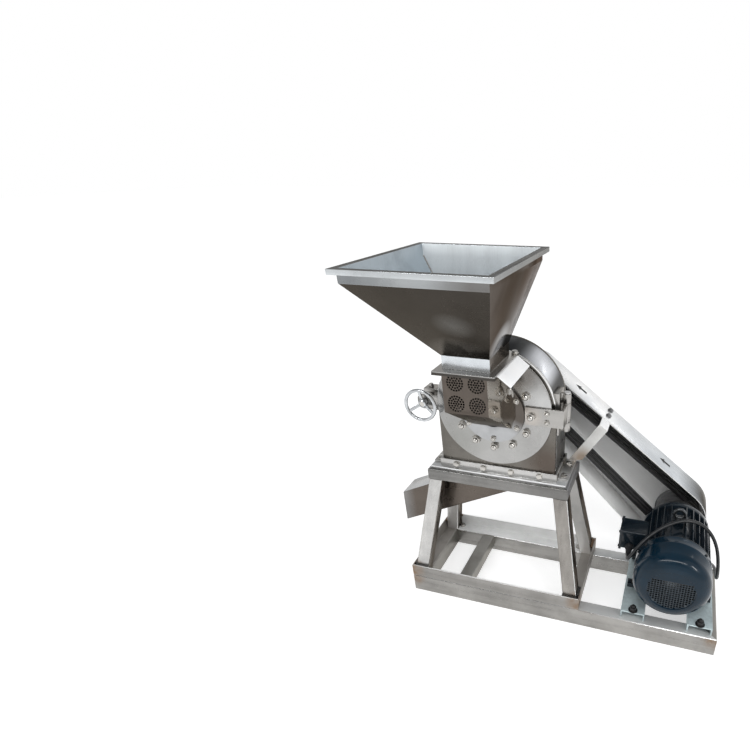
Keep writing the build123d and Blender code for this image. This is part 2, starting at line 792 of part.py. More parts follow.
# Door clamp
lug_front_y = door_back_y - clamp_lug_thickness
rod_bore_radius = clamp_rod_radius + running_clearance
with BuildPart() as clamp_lug:
    block((clamp_x - clamp_lug_reach, shaft_x), (lug_front_y, door_back_y),
          (shaft_z - clamp_lug_height / 2, shaft_z + clamp_lug_height / 2))
    disc(shaft_x, shaft_z, door_radius, (lug_front_y, door_back_y), Mode.SUBTRACT)
    disc(clamp_x, shaft_z, rod_bore_radius, (lug_front_y, door_back_y), Mode.SUBTRACT)
    fillet(clamp_lug.edges().filter_by(Axis.Y).group_by(Axis.X)[0], clamp_lug_height / 3)
save(clamp_lug, "clamp_lug")

hub_back_y = lug_front_y - clamp_end_play
hub_front_y = hub_back_y - clamp_hub_length
collar_front_y = door_back_y + clamp_end_play
with BuildPart() as clamp_screw:
    disc(clamp_x, shaft_z, clamp_rod_radius, (hub_front_y, clamp_rod_tip_y))
    disc(clamp_x, shaft_z, clamp_collar_radius, (collar_front_y, collar_front_y + clamp_collar_length))
save(clamp_screw, "clamp_screw")

with BuildPart() as handwheel:
    rim_y = hub_front_y - wheel_dish
    disc(clamp_x, shaft_z, clamp_hub_radius, (hub_front_y, hub_back_y))
    for point in on_circle(1.0, range(90, 450, 360 // wheel_spokes)):
        start = (clamp_x, (hub_front_y + hub_back_y) / 2, shaft_z)
        end = (clamp_x + wheel_radius * point[0], rim_y, shaft_z + wheel_radius * point[1])
        rod(start, end, spoke_radius)
    with Locations(Location((clamp_x, rim_y, shaft_z), (90, 0, 0))):
        Torus(wheel_radius, wheel_tube_radius)
    disc(clamp_x, shaft_z, clamp_rod_radius, (hub_front_y, hub_back_y), Mode.SUBTRACT)
save(handwheel, "handwheel")

trunnion_z_limits = (shaft_z - trunnion_height / 2, shaft_z + trunnion_height / 2)
upper_ear_limits = (trunnion_z_limits[1] + ear_gap, trunnion_z_limits[1] + ear_gap + ear_thickness)
lower_ear_limits = (trunnion_z_limits[0] - ear_gap - ear_thickness, trunnion_z_limits[0] - ear_gap)
with BuildPart() as clamp_bracket:
    wall_x = shaft_x - arch_radius
    bracket_y_limits = (trunnion_y - ear_depth / 2, trunnion_y + ear_depth / 2)
    block((wall_x - clamp_plate_thickness, shaft_x), bracket_y_limits,
          (lower_ear_limits[0], upper_ear_limits[1]))
    for limits in (lower_ear_limits, upper_ear_limits):
        block((wall_x - ear_reach, wall_x), bracket_y_limits, limits)
    extrude(housing_outline(bracket_y_limits[1], arch_radius, shaft_above_plate), amount=ear_depth,
            mode=Mode.SUBTRACT)
    with BuildSketch(Plane.XY.offset(lower_ear_limits[0])):
        with Locations((clamp_x, trunnion_y)):
            Circle(trunnion_pin_radius + seat_clearance)
    extrude(amount=upper_ear_limits[1] - lower_ear_limits[0], mode=Mode.SUBTRACT)
save(clamp_bracket, "clamp_bracket")

with BuildPart() as trunnion_nut:
    with BuildSketch(Plane.XY.offset(lower_ear_limits[0])):
        with Locations((clamp_x, trunnion_y)):
            Circle(trunnion_pin_radius)
    extrude(amount=upper_ear_limits[1] - lower_ear_limits[0])
    half_width = trunnion_width / 2
    block((clamp_x - half_width, clamp_x + half_width), (trunnion_y - half_width, trunnion_y + half_width),
          trunnion_z_limits)
    domes(Plane.XY.offset(upper_ear_limits[1]), [(clamp_x, trunnion_y)], small_across, small_height)
    domes(Plane(origin=(clamp_x, trunnion_y, lower_ear_limits[0]), z_dir=(0, 0, -1)), [(0, 0)],
          small_across, small_height)
    disc(clamp_x, shaft_z, clamp_rod_radius + trunnion_bore_clearance,
         (trunnion_y - half_width, trunnion_y + half_width), Mode.SUBTRACT)
save(trunnion_nut, "trunnion_nut")

# Feed box, gate and hopper
box_half = feed_box_width / 2
box_rear_y = boss_front_y
front_bottom_z = feed_top_z - feed_box_front_height
rear_bottom_z = feed_top_z - feed_box_rear_height
floor_slope = (front_bottom_z - rear_bottom_z) / (box_rear_y - feed_box_front_y)
floor_sheet = feed_sheet * sqrt(1 + floor_slope ** 2)
flange_half_width = feed_flange_width / 2
wing_screw_x = shaft_x + flange_half_width - wing_screw_inset


def feed_flange(z, opening_width, opening_depth):
    """A flat flange round the feed opening."""
    extrude(level(z, shaft_x, feed_flange_y, feed_flange_width, feed_flange_depth),
            amount=feed_flange_thickness)
    extrude(level(z, shaft_x, feed_flange_y, opening_width, opening_depth),
            amount=feed_flange_thickness, mode=Mode.SUBTRACT)


with BuildPart() as feed_box:
    with BuildSketch(Plane.YZ.offset(shaft_x - box_half)):
        Polygon((feed_box_front_y, feed_top_z), (feed_box_front_y, front_bottom_z),
                (box_rear_y, rear_bottom_z), (box_rear_y, feed_top_z), align=None)
    extrude(amount=feed_box_width)
    inner_front_y = feed_box_front_y + feed_sheet
    inner_rear_y = box_rear_y - feed_sheet
    inner_front_z = front_bottom_z + floor_sheet - feed_sheet * floor_slope
    inner_rear_z = rear_bottom_z + floor_sheet + feed_sheet * floor_slope
    with BuildSketch(Plane.YZ.offset(shaft_x - box_half + feed_sheet)):
        Polygon((inner_front_y, feed_top_z), (inner_front_y, inner_front_z),
                (inner_rear_y, inner_rear_z), (inner_rear_y, feed_top_z), align=None)
    extrude(amount=feed_box_width - 2 * feed_sheet, mode=Mode.SUBTRACT)
    disc(shaft_x, shaft_z, feed_hole_radius, (inner_rear_y, box_rear_y), Mode.SUBTRACT)
    feed_flange(feed_top_z, neck_width - 2 * hopper_sheet, neck_depth - 2 * hopper_sheet)
    with BuildSketch(door_side(inner_front_y, shaft_x, vent_row_z)):
        with GridLocations(vent_spacing_x, vent_spacing_z, 2, 2):
            with Locations((0, 0), *on_circle(vent_hole_pitch, range(0, 360, 60))):
                Rectangle(vent_hole, vent_hole, rotation=45)
    extrude(amount=feed_sheet, mode=Mode.SUBTRACT)
    with BuildSketch(Plane.XY.offset(feed_top_z)):
        with Locations((wing_screw_x, wing_screw_y)):
            Circle(wing_screw_radius + wing_screw_clearance)
    extrude(amount=feed_flange_thickness, mode=Mode.SUBTRACT)
save(feed_box, "feed_box")

gate_slot_limits = (gate_slot_z, hopper_flange_z)
gate_y_limits = (feed_flange_front_y + gate_guide_width + gate_clearance,
                 feed_flange_rear_y - gate_guide_width - gate_clearance)
gate_left_x = shaft_x - flange_half_width + gate_guide_width + gate_clearance
with BuildPart() as gate_guide:
    block((shaft_x - flange_half_width, shaft_x + flange_half_width),
          (feed_flange_front_y, feed_flange_rear_y), gate_slot_limits)
    block((gate_left_x - gate_clearance, shaft_x + flange_half_width),
          (gate_y_limits[0] - gate_clearance, gate_y_limits[1] + gate_clearance), gate_slot_limits,
          Mode.SUBTRACT)
save(gate_guide, "gate_guide")

with BuildPart() as feed_gate:
    gate_top_z = gate_slot_z + gate_clearance + gate_thickness
    bend_x = shaft_x + flange_half_width + gate_bend_overhang
    drop = radians(gate_handle_angle)
    bend_inset = gate_thickness * tan(drop / 2)
    along = Vector(cos(drop), 0, -sin(drop))
    under = Vector(-sin(drop), 0, -cos(drop)) * gate_thickness
    bend = Vector(bend_x, 0, gate_top_z)
    tip = bend + along * gate_handle_length
    with BuildSketch(door_side(gate_y_limits[1])):
        Polygon((gate_left_x, gate_top_z), (bend.X, bend.Z), (tip.X, tip.Z),
                (tip.X + under.X, tip.Z + under.Z), (bend_x - bend_inset, gate_top_z - gate_thickness),
                (gate_left_x, gate_top_z - gate_thickness), align=None)
    extrude(amount=gate_y_limits[1] - gate_y_limits[0])
save(feed_gate, "feed_gate")

with BuildPart() as wing_screw:
    screw_top_z = gate_slot_z
    screw_bottom_z = screw_top_z - wing_screw_length
    with BuildSketch(Plane.XY.offset(screw_bottom_z)):
        with Locations((wing_screw_x, wing_screw_y)):
            Circle(wing_screw_radius)
    extrude(amount=wing_screw_length)
    with BuildSketch(Plane.XY.offset(screw_bottom_z)):
        with Locations((wing_screw_x, wing_screw_y)):
            Circle(wing_head_radius)
    extrude(amount=wing_head_height)
save(wing_screw, "wing_screw")

with BuildPart() as hopper:
    band_bottom_z = hopper_top_z - hopper_band_height
    for inset, mode in ((0.0, Mode.ADD), (2 * hopper_sheet, Mode.SUBTRACT)):
        neck_size = (neck_width - inset, neck_depth - inset)
        top_size = (hopper_width - inset, hopper_depth - inset)
        extrude(level(neck_bottom_z, shaft_x, feed_flange_y, *neck_size), amount=neck_top_z - neck_bottom_z,
                mode=mode)
        loft([level(neck_top_z, shaft_x, feed_flange_y, *neck_size),
              level(band_bottom_z, hopper_x, hopper_y, *top_size)], mode=mode)
        extrude(level(band_bottom_z, hopper_x, hopper_y, *top_size), amount=hopper_band_height, mode=mode)
    feed_flange(hopper_flange_z, neck_width - 2 * hopper_sheet, neck_depth - 2 * hopper_sheet)
    with BuildSketch(Plane.XY.offset(hopper_top_z - rim_height)):
        with Locations((hopper_x, hopper_y)):
            Rectangle(hopper_width + 2 * rim_width, hopper_depth + 2 * rim_width)
            Rectangle(hopper_width, hopper_depth, mode=Mode.SUBTRACT)
    extrude(amount=rim_height)
save(hopper, "hopper")

with BuildPart() as door_small_bolts:
    domes(door_side(boss_front_y, shaft_x, shaft_z), on_circle(boss_nut_radius, (30, 150, 210, 270, 330)),
          small_across, small_height)
    strap_bolt_x = (shaft_x + door_radius) - small_across
    domes(door_side(strap_front_y, strap_bolt_x, shaft_z), [(0, strap_height / 4), (0, -strap_height / 4)],
          small_across, small_height)
    feed_bolt_reach = flange_half_width - feed_bolt_inset
    feed_bolts = [(shaft_x + side_x * feed_bolt_reach, feed_flange_rear_y - feed_bolt_inset)
                  for side_x in (-1, 1)]
    heads(Plane.XY.offset(neck_bottom_z), feed_bolts, small_across, small_height / 2)
save(door_small_bolts, "door_small_bolts")

# Discharge chute
with BuildPart() as discharge_chute:
    mouth_x = chute_right - chute_length
    rise = tan(radians(chute_slope))
    sloped_sheet = chute_sheet * sqrt(1 + rise ** 2)
    throat_bottom_z = chute_mouth_z + chute_length * rise
    throat_left_z = chute_mouth_z + chute_mouth_height + (chute_throat_left - mouth_x) * rise
    with BuildSketch(door_side(mill_y + chute_width / 2)):
        Polygon((mouth_x, chute_mouth_z), (chute_right, throat_bottom_z), (chute_right, top_plate_z),
                (chute_throat_left, top_plate_z), (chute_throat_left, throat_left_z),
                (mouth_x, chute_mouth_z + chute_mouth_height), align=None)
    extrude(amount=chute_width)
    inner_floor_z = chute_mouth_z + sloped_sheet
    inner_roof_z = chute_mouth_z + chute_mouth_height - sloped_sheet
    inner_left = chute_throat_left + chute_sheet
    inner_right = chute_right - chute_sheet
    with BuildSketch(door_side(mill_y + chute_width / 2 - chute_sheet)):
        Polygon((mouth_x, inner_floor_z), (inner_right, inner_floor_z + (inner_right - mouth_x) * rise),
                (inner_right, top_plate_z), (inner_left, top_plate_z),
                (inner_left, inner_roof_z + (inner_left - mouth_x) * rise), (mouth_x, inner_roof_z),
                align=None)
    extrude(amount=chute_width - 2 * chute_sheet, mode=Mode.SUBTRACT)
save(discharge_chute, "discharge_chute")

# Motor
with BuildPart() as motor_rails:
    for side_x in (-1, 1):
        with BuildSketch(door_side(rail_length / 2, motor_x + side_x * rail_spread, base_tube_height)):
            with Locations((0, rail_height / 2)):
                Rectangle(rail_width, rail_height)
            with Locations((0, (rail_height - rail_thickness) / 2)):
                Rectangle(rail_width - 2 * rail_thickness, rail_height - rail_thickness, mode=Mode.SUBTRACT)
        extrude(amount=rail_length)
save(motor_rails, "motor_rails")

foot_bottom = -motor_shaft_height
foot_top = foot_bottom + foot_thickness
with BuildPart() as motor_frame:
    with BuildSketch(door_side(frame_back_y, motor_x, motor_z)):
        Circle(frame_radius)
        fin_step = 360 / fin_count
        fin_middle_radius = (frame_radius - fin_root + fin_radius) / 2
        fin_angles = [fin_step * (i + 0.5) for i in range(fin_count)]
        for angle in fin_angles:
            if not any(low <= angle <= high for low, high in fin_gaps):
                with Locations(Location(on_circle(fin_middle_radius, (angle,))[0], angle)):
                    Rectangle(fin_radius - frame_radius + fin_root, fin_thickness)
    extrude(amount=frame_length)
    for foot_back in (foot_bolt_y + foot_length / 2, foot_bolt_y - foot_bolt_span + foot_length / 2):
        for side_x in (-1, 1):
            with BuildSketch(door_side(foot_back, motor_x, motor_z)):
                Polygon((side_x * foot_inner_x, foot_bottom), (side_x * foot_outer_x, foot_bottom),
                        (side_x * foot_outer_x, foot_top), (side_x * (foot_bolt_x - bolt_across), foot_top),
                        (side_x * (frame_radius - foot_thickness), -foot_web_top),
                        (side_x * foot_inner_x / 2, -foot_web_top), align=None)
            extrude(amount=foot_length)
    block((motor_x - lift_pad_width / 2, motor_x + lift_pad_width / 2),
          (lift_pad_y - lift_pad_length / 2, lift_pad_y + lift_pad_length / 2),
          (motor_z + frame_radius - frame_wall / 2, motor_z + fin_radius))
    disc(motor_x, motor_z, frame_radius - frame_wall, (frame_front_y, frame_back_y), Mode.SUBTRACT)
save(motor_frame, "motor_frame")

journal_bore = motor_journal_radius + running_clearance
shield_back_y = frame_back_y + shield_length
rear_shield_y = frame_front_y - rear_shield_thickness
cowl_seat_y = frame_front_y - cowl_seat_thickness
cowl_inner_radius = cowl_radius - cowl_sheet
with BuildPart() as motor_end_shields:
    turn(motor_x, motor_z, [(journal_bore, frame_back_y),
                            (shield_rim_radius, frame_back_y),
                            (shield_rim_radius, frame_back_y + shield_rim_length),
                            (shield_boss_radius, frame_back_y + shield_rim_length + shield_cone_length),
                            (shield_boss_radius, shield_back_y),
                            (journal_bore, shield_back_y)])
    turn(motor_x, motor_z, [(journal_bore, frame_front_y),
                            (cowl_radius, frame_front_y),
                            (cowl_radius, cowl_seat_y),
                            (cowl_inner_radius - cowl_seat_clearance, cowl_seat_y),
                            (cowl_inner_radius - cowl_seat_clearance, rear_shield_y),
                            (journal_bore, rear_shield_y)])
save(motor_end_shields, "motor_end_shields")

fan_back_y = rear_shield_y - fan_gap
fan_front_y = fan_back_y - fan_depth
core_back_y = frame_back_y - (frame_length - motor_core_length) / 2
core_front_y = core_back_y - motor_core_length
with BuildPart() as motor_shaft:
    turn(motor_x, motor_z, [(0, fan_front_y),
                            (motor_seat_radius, fan_front_y),
                            (motor_seat_radius, fan_back_y),
                            (motor_journal_radius, fan_back_y),
                            (motor_journal_radius, core_front_y),
                            (motor_core_radius, core_front_y),
                            (motor_core_radius, core_back_y),
                            (motor_journal_radius, core_back_y),
                            (motor_journal_radius, shaft_shoulder_y),
                            (motor_seat_radius, shaft_shoulder_y),
                            (motor_seat_radius, shaft_back_y),
                            (0, shaft_back_y)])
save(motor_shaft, "motor_shaft")

with BuildPart() as motor_fan:
    disc(motor_x, motor_z, fan_hub_radius, (fan_front_y, fan_back_y))
    disc(motor_x, motor_z, fan_radius, (fan_back_y - fan_blade_thickness, fan_back_y))
    with BuildSketch(door_side(fan_back_y, motor_x, motor_z)):
        with PolarLocations((fan_radius + fan_hub_radius - fan_blade_root) / 2, fan_blades):
            Rectangle(fan_radius - fan_hub_radius + fan_blade_root, fan_blade_thickness)
    extrude(amount=fan_depth)
    disc(motor_x, motor_z, motor_seat_radius, (fan_front_y, fan_back_y), Mode.SUBTRACT)
save(motor_fan, "motor_fan")

cowl_front_y = cowl_seat_y - cowl_length
with BuildPart() as fan_cowl:
    disc(motor_x, motor_z, cowl_radius, (cowl_front_y, cowl_seat_y))
    fillet(fan_cowl.faces().sort_by(Axis.Y)[0].edges(), cowl_corner_radius)
    offset(amount=-cowl_sheet, openings=fan_cowl.faces().sort_by(Axis.Y)[-1])
    for ring_radius, count in zip(cowl_slot_rings, cowl_slot_counts):
        with BuildSketch(door_side(cowl_front_y + cowl_sheet, motor_x, motor_z)):
            with PolarLocations(ring_radius, count):
                Rectangle(cowl_slot_length, cowl_slot_width)
        extrude(amount=cowl_sheet, mode=Mode.SUBTRACT)
save(fan_cowl, "fan_cowl")

terminal_lid_x = motor_x + terminal_left
terminal_z_limits = (motor_z + terminal_bottom, motor_z + terminal_top)
with BuildPart() as terminal_box:
    block((terminal_lid_x, motor_x), (terminal_front_y, terminal_rear_y), terminal_z_limits)
    fillet(terminal_box.edges().filter_by(Axis.X), terminal_lid)
    with BuildSketch(Plane.YZ.offset(terminal_lid_x - terminal_lid)):
        with Locations(((terminal_front_y + terminal_rear_y) / 2, sum(terminal_z_limits) / 2)):
            RectangleRounded(terminal_rear_y - terminal_front_y + terminal_lid,
                             terminal_top - terminal_bottom + terminal_lid, terminal_lid)
    extrude(amount=terminal_lid)
    disc(motor_x, motor_z, frame_radius, (terminal_front_y, terminal_rear_y), Mode.SUBTRACT)
save(terminal_box, "terminal_box")

with BuildPart() as eye_bolt:
    pad_top_z = motor_z + fin_radius
    eye_z = pad_top_z + eye_collar_height + eye_ring_radius
    with BuildSketch(Plane.XY.offset(pad_top_z)):
        with Locations((motor_x, lift_pad_y)):
            Circle(eye_collar_radius)
    extrude(amount=eye_collar_height)
    with Locations(Location((motor_x, lift_pad_y, eye_z), (90, 0, 0))):
        Torus(eye_ring_radius, eye_wire_radius)
save(eye_bolt, "eye_bolt")

with BuildPart() as motor_bolts:
    rail_bolt_y = rail_length / 2 - rail_bolt_inset
    heads(Plane.XY.offset(rail_top_z), [(motor_x + side_x * rail_spread, side_y * rail_bolt_y)
                                        for side_x in (-1, 1) for side_y in (-1, 1)],
          bolt_across, bolt_height)
    heads(Plane.XY.offset(motor_z + foot_top), [(motor_x + side_x * foot_bolt_x, bolt_y)
                                                for side_x in (-1, 1)
                                                for bolt_y in (foot_bolt_y, foot_bolt_y - foot_bolt_span)],
          bolt_across, bolt_height)
save(motor_bolts, "motor_bolts")

# Pulleys and belts
groove_bottom_half = groove_half_width - groove_depth * tan(radians(groove_angle))
groove_ys = [pulley_front_y + pulley_width / 2 + (i - (groove_count - 1) / 2) * groove_pitch
             for i in range(groove_count)]


def pulley(x, z, radius, bore_radius):
    """A grooved belt pulley."""
    disc(x, z, radius, (pulley_front_y, pulley_back_y))
    for groove_y in groove_ys:
        turn(x, z, [(radius, groove_y - groove_half_width),
                    (radius - groove_depth, groove_y - groove_bottom_half),
                    (radius - groove_depth, groove_y + groove_bottom_half),
                    (radius, groove_y + groove_half_width)], Mode.SUBTRACT)
    disc(x, z, bore_radius, (pulley_front_y, pulley_back_y), Mode.SUBTRACT)


with BuildPart() as rotor_pulley:
    pulley(shaft_x, shaft_z, rotor_pulley_radius, pulley_seat_radius)
save(rotor_pulley, "rotor_pulley")

with BuildPart() as motor_pulley:
    pulley(motor_x, motor_z, motor_pulley_radius, motor_seat_radius)
save(motor_pulley, "motor_pulley")

# The drive line runs from the mill shaft down to the motor shaft, in the plane of X and Z
shaft_point = Vector(shaft_x, 0, shaft_z)
motor_point = Vector(motor_x, 0, motor_z)
drive_line = (motor_point - shaft_point).normalized()
drive_normal = Vector(-drive_line.Z, 0, drive_line.X)


class DriveLoop:
    """The loop of two arcs and two tangents round a circle near each shaft."""

    def __init__(self, upper, upper_radius, lower, lower_radius):
        line = (lower - upper).normalized()
        lean = (lower_radius - upper_radius) / (lower - upper).length
        across = Vector(-line.Z, 0, line.X) * sqrt(1 - lean ** 2)
        self.normal = across - line * lean
        far_normal = -across - line * lean
        self.near_upper = upper + self.normal * upper_radius
        self.near_lower = lower + self.normal * lower_radius
        self.far_upper = upper + far_normal * upper_radius
        self.far_lower = lower + far_normal * lower_radius
        self.upper_end = upper - line * upper_radius
        self.lower_end = lower + line * lower_radius

    def draw(self):
        """The closed outline, in the X and Z of an upright plane."""
        Line(flat(self.near_upper), flat(self.near_lower))
        ThreePointArc(flat(self.near_lower), flat(self.lower_end), flat(self.far_lower))
        Line(flat(self.far_lower), flat(self.far_upper))
        ThreePointArc(flat(self.far_upper), flat(self.upper_end), flat(self.near_upper))


def flat(point):
    """A point of the drive plane as plane coordinates."""
    return (point.X, point.Z)


belt_mid = belt_proud - belt_thickness / 2
belt_loop = DriveLoop(shaft_point, rotor_pulley_radius + belt_mid,
                      motor_point, motor_pulley_radius + belt_mid)
belt_top_half = groove_half_width - belt_clearance
belt_bottom_half = belt_top_half - (belt_thickness - belt_proud) * tan(radians(groove_angle))
with BuildPart() as v_belts:
    for groove_y in groove_ys:
        with BuildLine(door_side(groove_y)) as belt_path:
            belt_loop.draw()
        run = (belt_loop.near_lower - belt_loop.near_upper).normalized()
        section_origin = belt_loop.near_upper + Vector(0, groove_y, 0)
        with BuildSketch(Plane(origin=section_origin, x_dir=(0, 1, 0), z_dir=run)) as belt_section:
            Polygon((-belt_bottom_half, -belt_thickness / 2), (belt_bottom_half, -belt_thickness / 2),
                    (belt_top_half, belt_thickness / 2), (-belt_top_half, belt_thickness / 2), align=None)
        sweep(belt_section.sketch, path=belt_path.wires()[0])
save(v_belts, "v_belts")

# Belt guard
guard_back_y = guard_front_y + guard_depth
guard_upper = shaft_point + drive_line * guard_upper_shift + drive_normal * guard_upper_lift
guard_lower = motor_point - drive_line * guard_lower_shift - drive_normal * guard_lower_drop
guard_loop = DriveLoop(guard_upper, guard_upper_radius, guard_lower, guard_lower_radius)
guard_hollow = DriveLoop(guard_upper, guard_upper_radius - guard_sheet,
                         guard_lower, guard_lower_radius - guard_sheet)
with BuildPart() as belt_guard:
    with BuildSketch(door_side(guard_back_y)):
        with BuildLine():
            guard_loop.draw()
        make_face()
    extrude(amount=guard_depth)
    fillet(belt_guard.faces().sort_by(Axis.Y)[-1].edges(), guard_edge_radius)
    with BuildSketch(door_side(guard_back_y - guard_sheet)):
        with BuildLine():
            guard_hollow.draw()
        make_face()
    extrude(amount=guard_depth - guard_sheet, mode=Mode.SUBTRACT)
save(belt_guard, "belt_guard")

# The strip lies under the guard's upper rim, then bends down to the top plate's rear corner
rim_run = (guard_loop.near_lower - guard_loop.near_upper).normalized()
strip_start = guard_hollow.near_upper + rim_run * (strip_along - guard_upper_shift)
strip_drop = (strip_start.Z - plate_top_z) / guard_loop.normal.Z
with BuildPart() as guard_strip:
    strip_plane = Plane(origin=strip_start - rim_run * (strip_width / 2), x_dir=(0, 1, 0), z_dir=rim_run)
    fall = (strip_front_y - strip_foot_y) / strip_drop
    knee = strip_thickness * (sqrt(1 + fall ** 2) - fall)
    deep = strip_drop + strip_width
    with BuildSketch(strip_plane):
        Polygon((strip_rear_y, 0), (strip_front_y, 0), (strip_front_y - deep * fall, -deep),
                (strip_front_y - deep * fall + strip_thickness * sqrt(1 + fall ** 2), -deep),
                (strip_front_y + knee, -strip_thickness), (strip_rear_y, -strip_thickness), align=None)
    extrude(amount=strip_width)
    split(bisect_by=Plane.XY.offset(plate_top_z), keep=Keep.TOP)
save(guard_strip, "guard_strip")

with BuildPart() as frame_bolts:
    ring_bolt_y = base_width / 2 - angle_leg / 2
    ring_bolt_half = lower_ring_length / 2 - angle_leg - frame_bolt_across
    heads(Plane.XY.offset(foot_z), [(lower_ring_x + side_x * ring_bolt_half, side_y * ring_bolt_y)
                                    for side_x in (-1, 1) for side_y in (-1, 1)],
          frame_bolt_across, frame_bolt_height)
    flange_bolt_middle = (flange_bolt_count - 1) / 2
    flange_bolt_xs = [(i - flange_bolt_middle) * flange_bolt_pitch for i in range(flange_bolt_count)]
    bar_middle_z = plate_top_z + flange_bar_height / 2
    heads(door_side(flange_y_limits[0], shaft_x, bar_middle_z), [(x, 0) for x in flange_bolt_xs],
          frame_bolt_across, frame_bolt_height)
    heads(rear_side(flange_y_limits[1], shaft_x, bar_middle_z), [(x, 0) for x in flange_bolt_xs],
          frame_bolt_across, frame_bolt_height)
    foot_bolt_reach = flange_half + flange_foot_width / 2
    foot_bolt_half = (foot_y_limits[1] - foot_y_limits[0]) / 3
    heads(Plane.XY.offset(plate_top_z + flange_bar_thickness),
          [(shaft_x + side_x * foot_bolt_reach, mill_y + side_y * foot_bolt_half)
           for side_x in (-1, 1) for side_y in (-1, 1)], frame_bolt_across, frame_bolt_height)
    rim_point = strip_start + guard_loop.normal * guard_sheet
    heads(Plane(origin=rim_point, x_dir=(0, 1, 0), z_dir=guard_loop.normal),
          [(bolt_y, 0) for bolt_y in guard_bolt_ys], frame_bolt_across, frame_bolt_height)
save(frame_bolts, "frame_bolts")

# Cable gland and power cord
with BuildPart() as cord_gland:
    gland_nut_y = terminal_front_y - gland_nut_length
    gland_tip_y = gland_nut_y - gland_sleeve_length
    heads(door_side(terminal_front_y, gland_x, gland_z), [(0, 0)], gland_nut_across, gland_nut_length)
    turn(gland_x, gland_z, [(0, gland_nut_y), (gland_nut_across / 2 - gland_sleeve_step, gland_nut_y),
                            (gland_tip_radius, gland_tip_y), (0, gland_tip_y)])
save(cord_gland, "cord_gland")

# The coil's bottom layer spirals in, its top layer spirals out again, with a climb of half a turn between
lower_layer_z = cord_radius + tie_thickness + tie_clearance + seat_clearance
layer_step = 2 * cord_radius + coil_layer_gap
upper_layer_z = lower_layer_z + layer_step
climb_start = 2 * pi * coil_turns
climb_end = climb_start + pi
coil_end = climb_end + climb_start
coil_inner_radius = coil_outer_radius - coil_pitch * coil_end / (4 * pi)


def coil_point(angle):
    """The middle of the cord at an angle along the coil."""
    radius = coil_inner_radius + coil_pitch * abs(angle - coil_end / 2) / (2 * pi)
    climb = min(max(angle - climb_start, 0), pi)
    height = lower_layer_z + layer_step * (1 - cos(climb)) / 2
    return Vector(coil_x + radius * cos(angle), coil_y + radius * sin(angle), height)


def coil_heading(angle):
    """The direction of the cord at an angle along the coil, square to its ends where it starts and stops."""
    if angle in (0, coil_end):
        return Vector(-sin(angle), cos(angle), 0)
    step = 1e-4
    return (coil_point(angle + step) - coil_point(angle - step)).normalized()


def biarc(start, start_heading, end, end_heading):
    """Two arcs that meet smoothly between two points with given headings."""
    chord = end - start
    both = start_heading + end_heading
    turn_share = 2 * (1 - start_heading.dot(end_heading))
    reach = (sqrt(chord.dot(both) ** 2 + turn_share * chord.dot(chord)) - chord.dot(both)) / turn_share
    middle = (start + end + (start_heading - end_heading) * reach) * 0.5
    middle_heading = (end - end_heading * reach - start - start_heading * reach).normalized()
    first = TangentArc(start, middle, tangent=start_heading)
    second = TangentArc(middle, end, tangent=middle_heading)
    return first, second


coil_start = coil_point(0) - coil_heading(0) * coil_lead
coil_stop = coil_point(coil_end) + coil_heading(coil_end) * coil_tail
with BuildPart() as cord_coil:
    with BuildLine() as coil_path:
        Line(coil_start, coil_point(0))
        quarters = round(coil_end / (pi / 2))
        for quarter in range(quarters):
            begin = quarter * pi / 2
            finish = begin + pi / 2 if quarter < quarters - 1 else coil_end
            biarc(coil_point(begin), coil_heading(begin), coil_point(finish), coil_heading(finish))
        Line(coil_point(coil_end), coil_stop)
    with BuildSketch(Plane(origin=coil_start, z_dir=coil_heading(0))) as coil_section:
        Circle(cord_radius)
    sweep(coil_section.sketch, path=coil_path.wires()[0])
save(cord_coil, "cord_coil")

with BuildPart() as cord_tie:
    tie_inner = coil_inner_radius + coil_pitch / 2 - cord_radius - tie_side_clearance
    tie_outer = coil_inner_radius + (coil_turns - 0.5) * coil_pitch + cord_radius + tie_side_clearance
    tie_bottom = lower_layer_z - cord_radius - tie_clearance
    tie_top = upper_layer_z + cord_radius + tie_clearance
    for grow, mode in ((tie_thickness, Mode.ADD), (0, Mode.SUBTRACT)):
        block((coil_x - tie_width / 2, coil_x + tie_width / 2),
              (coil_y - tie_outer - grow, coil_y - tie_inner + grow),
              (tie_bottom - grow, tie_top + grow), mode)
save(cord_tie, "cord_tie")

with BuildPart() as power_plug:
    plug_y = coil_stop.Y
    plug_radius = upper_layer_z - plug_floor_gap
    turn(coil_stop.X, coil_stop.Z, [(0, plug_y), (plug_neck_radius, plug_y),
                                    (plug_radius, plug_y - plug_neck_length),
                                    (plug_radius, plug_y - plug_length), (0, plug_y - plug_length)])
    for pin_x, pin_z in on_circle(plug_pin_circle, (90, 210, 330)):
        disc(coil_stop.X + pin_x, coil_stop.Z + pin_z, plug_pin_radius,
             (plug_y - plug_length - pin_length, plug_y - plug_length))
save(power_plug, "power_plug")

# The cord rises from the gland over the motor, drops behind its right side and runs back to the coil
cord_route = [
    (gland_x, gland_tip_y, gland_z),
    (gland_x, -40, gland_z),
    (188, -60, 211),
    (196, -70, 232),
    (210, -62, 257),
    (236, -38, 284),
    (275, -7, 306),
    (325, 22, 316),
    (371, 38, 301),
    (404, 42, 269),
    (424, 34, 233),
    (434, 22, 194),
    (439, 18, 155),
    (443, 34, 120),
    (446, 66, 95),
    (447, 102, 81),
    (446, 136, 73),
    (441, 168, 57),
    (429, 194, 34),
    (411, 217, 17),
    (391, 238, 9),
    (371, 257, 7.2),
    (357, 277, lower_layer_z),
    (coil_start.X, 298, lower_layer_z),
    tuple(coil_start),
]
points = [Vector(*point) for point in cord_route]
bend_radii = []
for before, corner, after in zip(points, points[1:], points[2:]):
    arriving = corner - before
    leaving = after - corner
    half_turn = radians(arriving.get_angle(leaving)) / 2
    bend_radii.append(0.45 * min(arriving.length, leaving.length) / tan(half_turn))
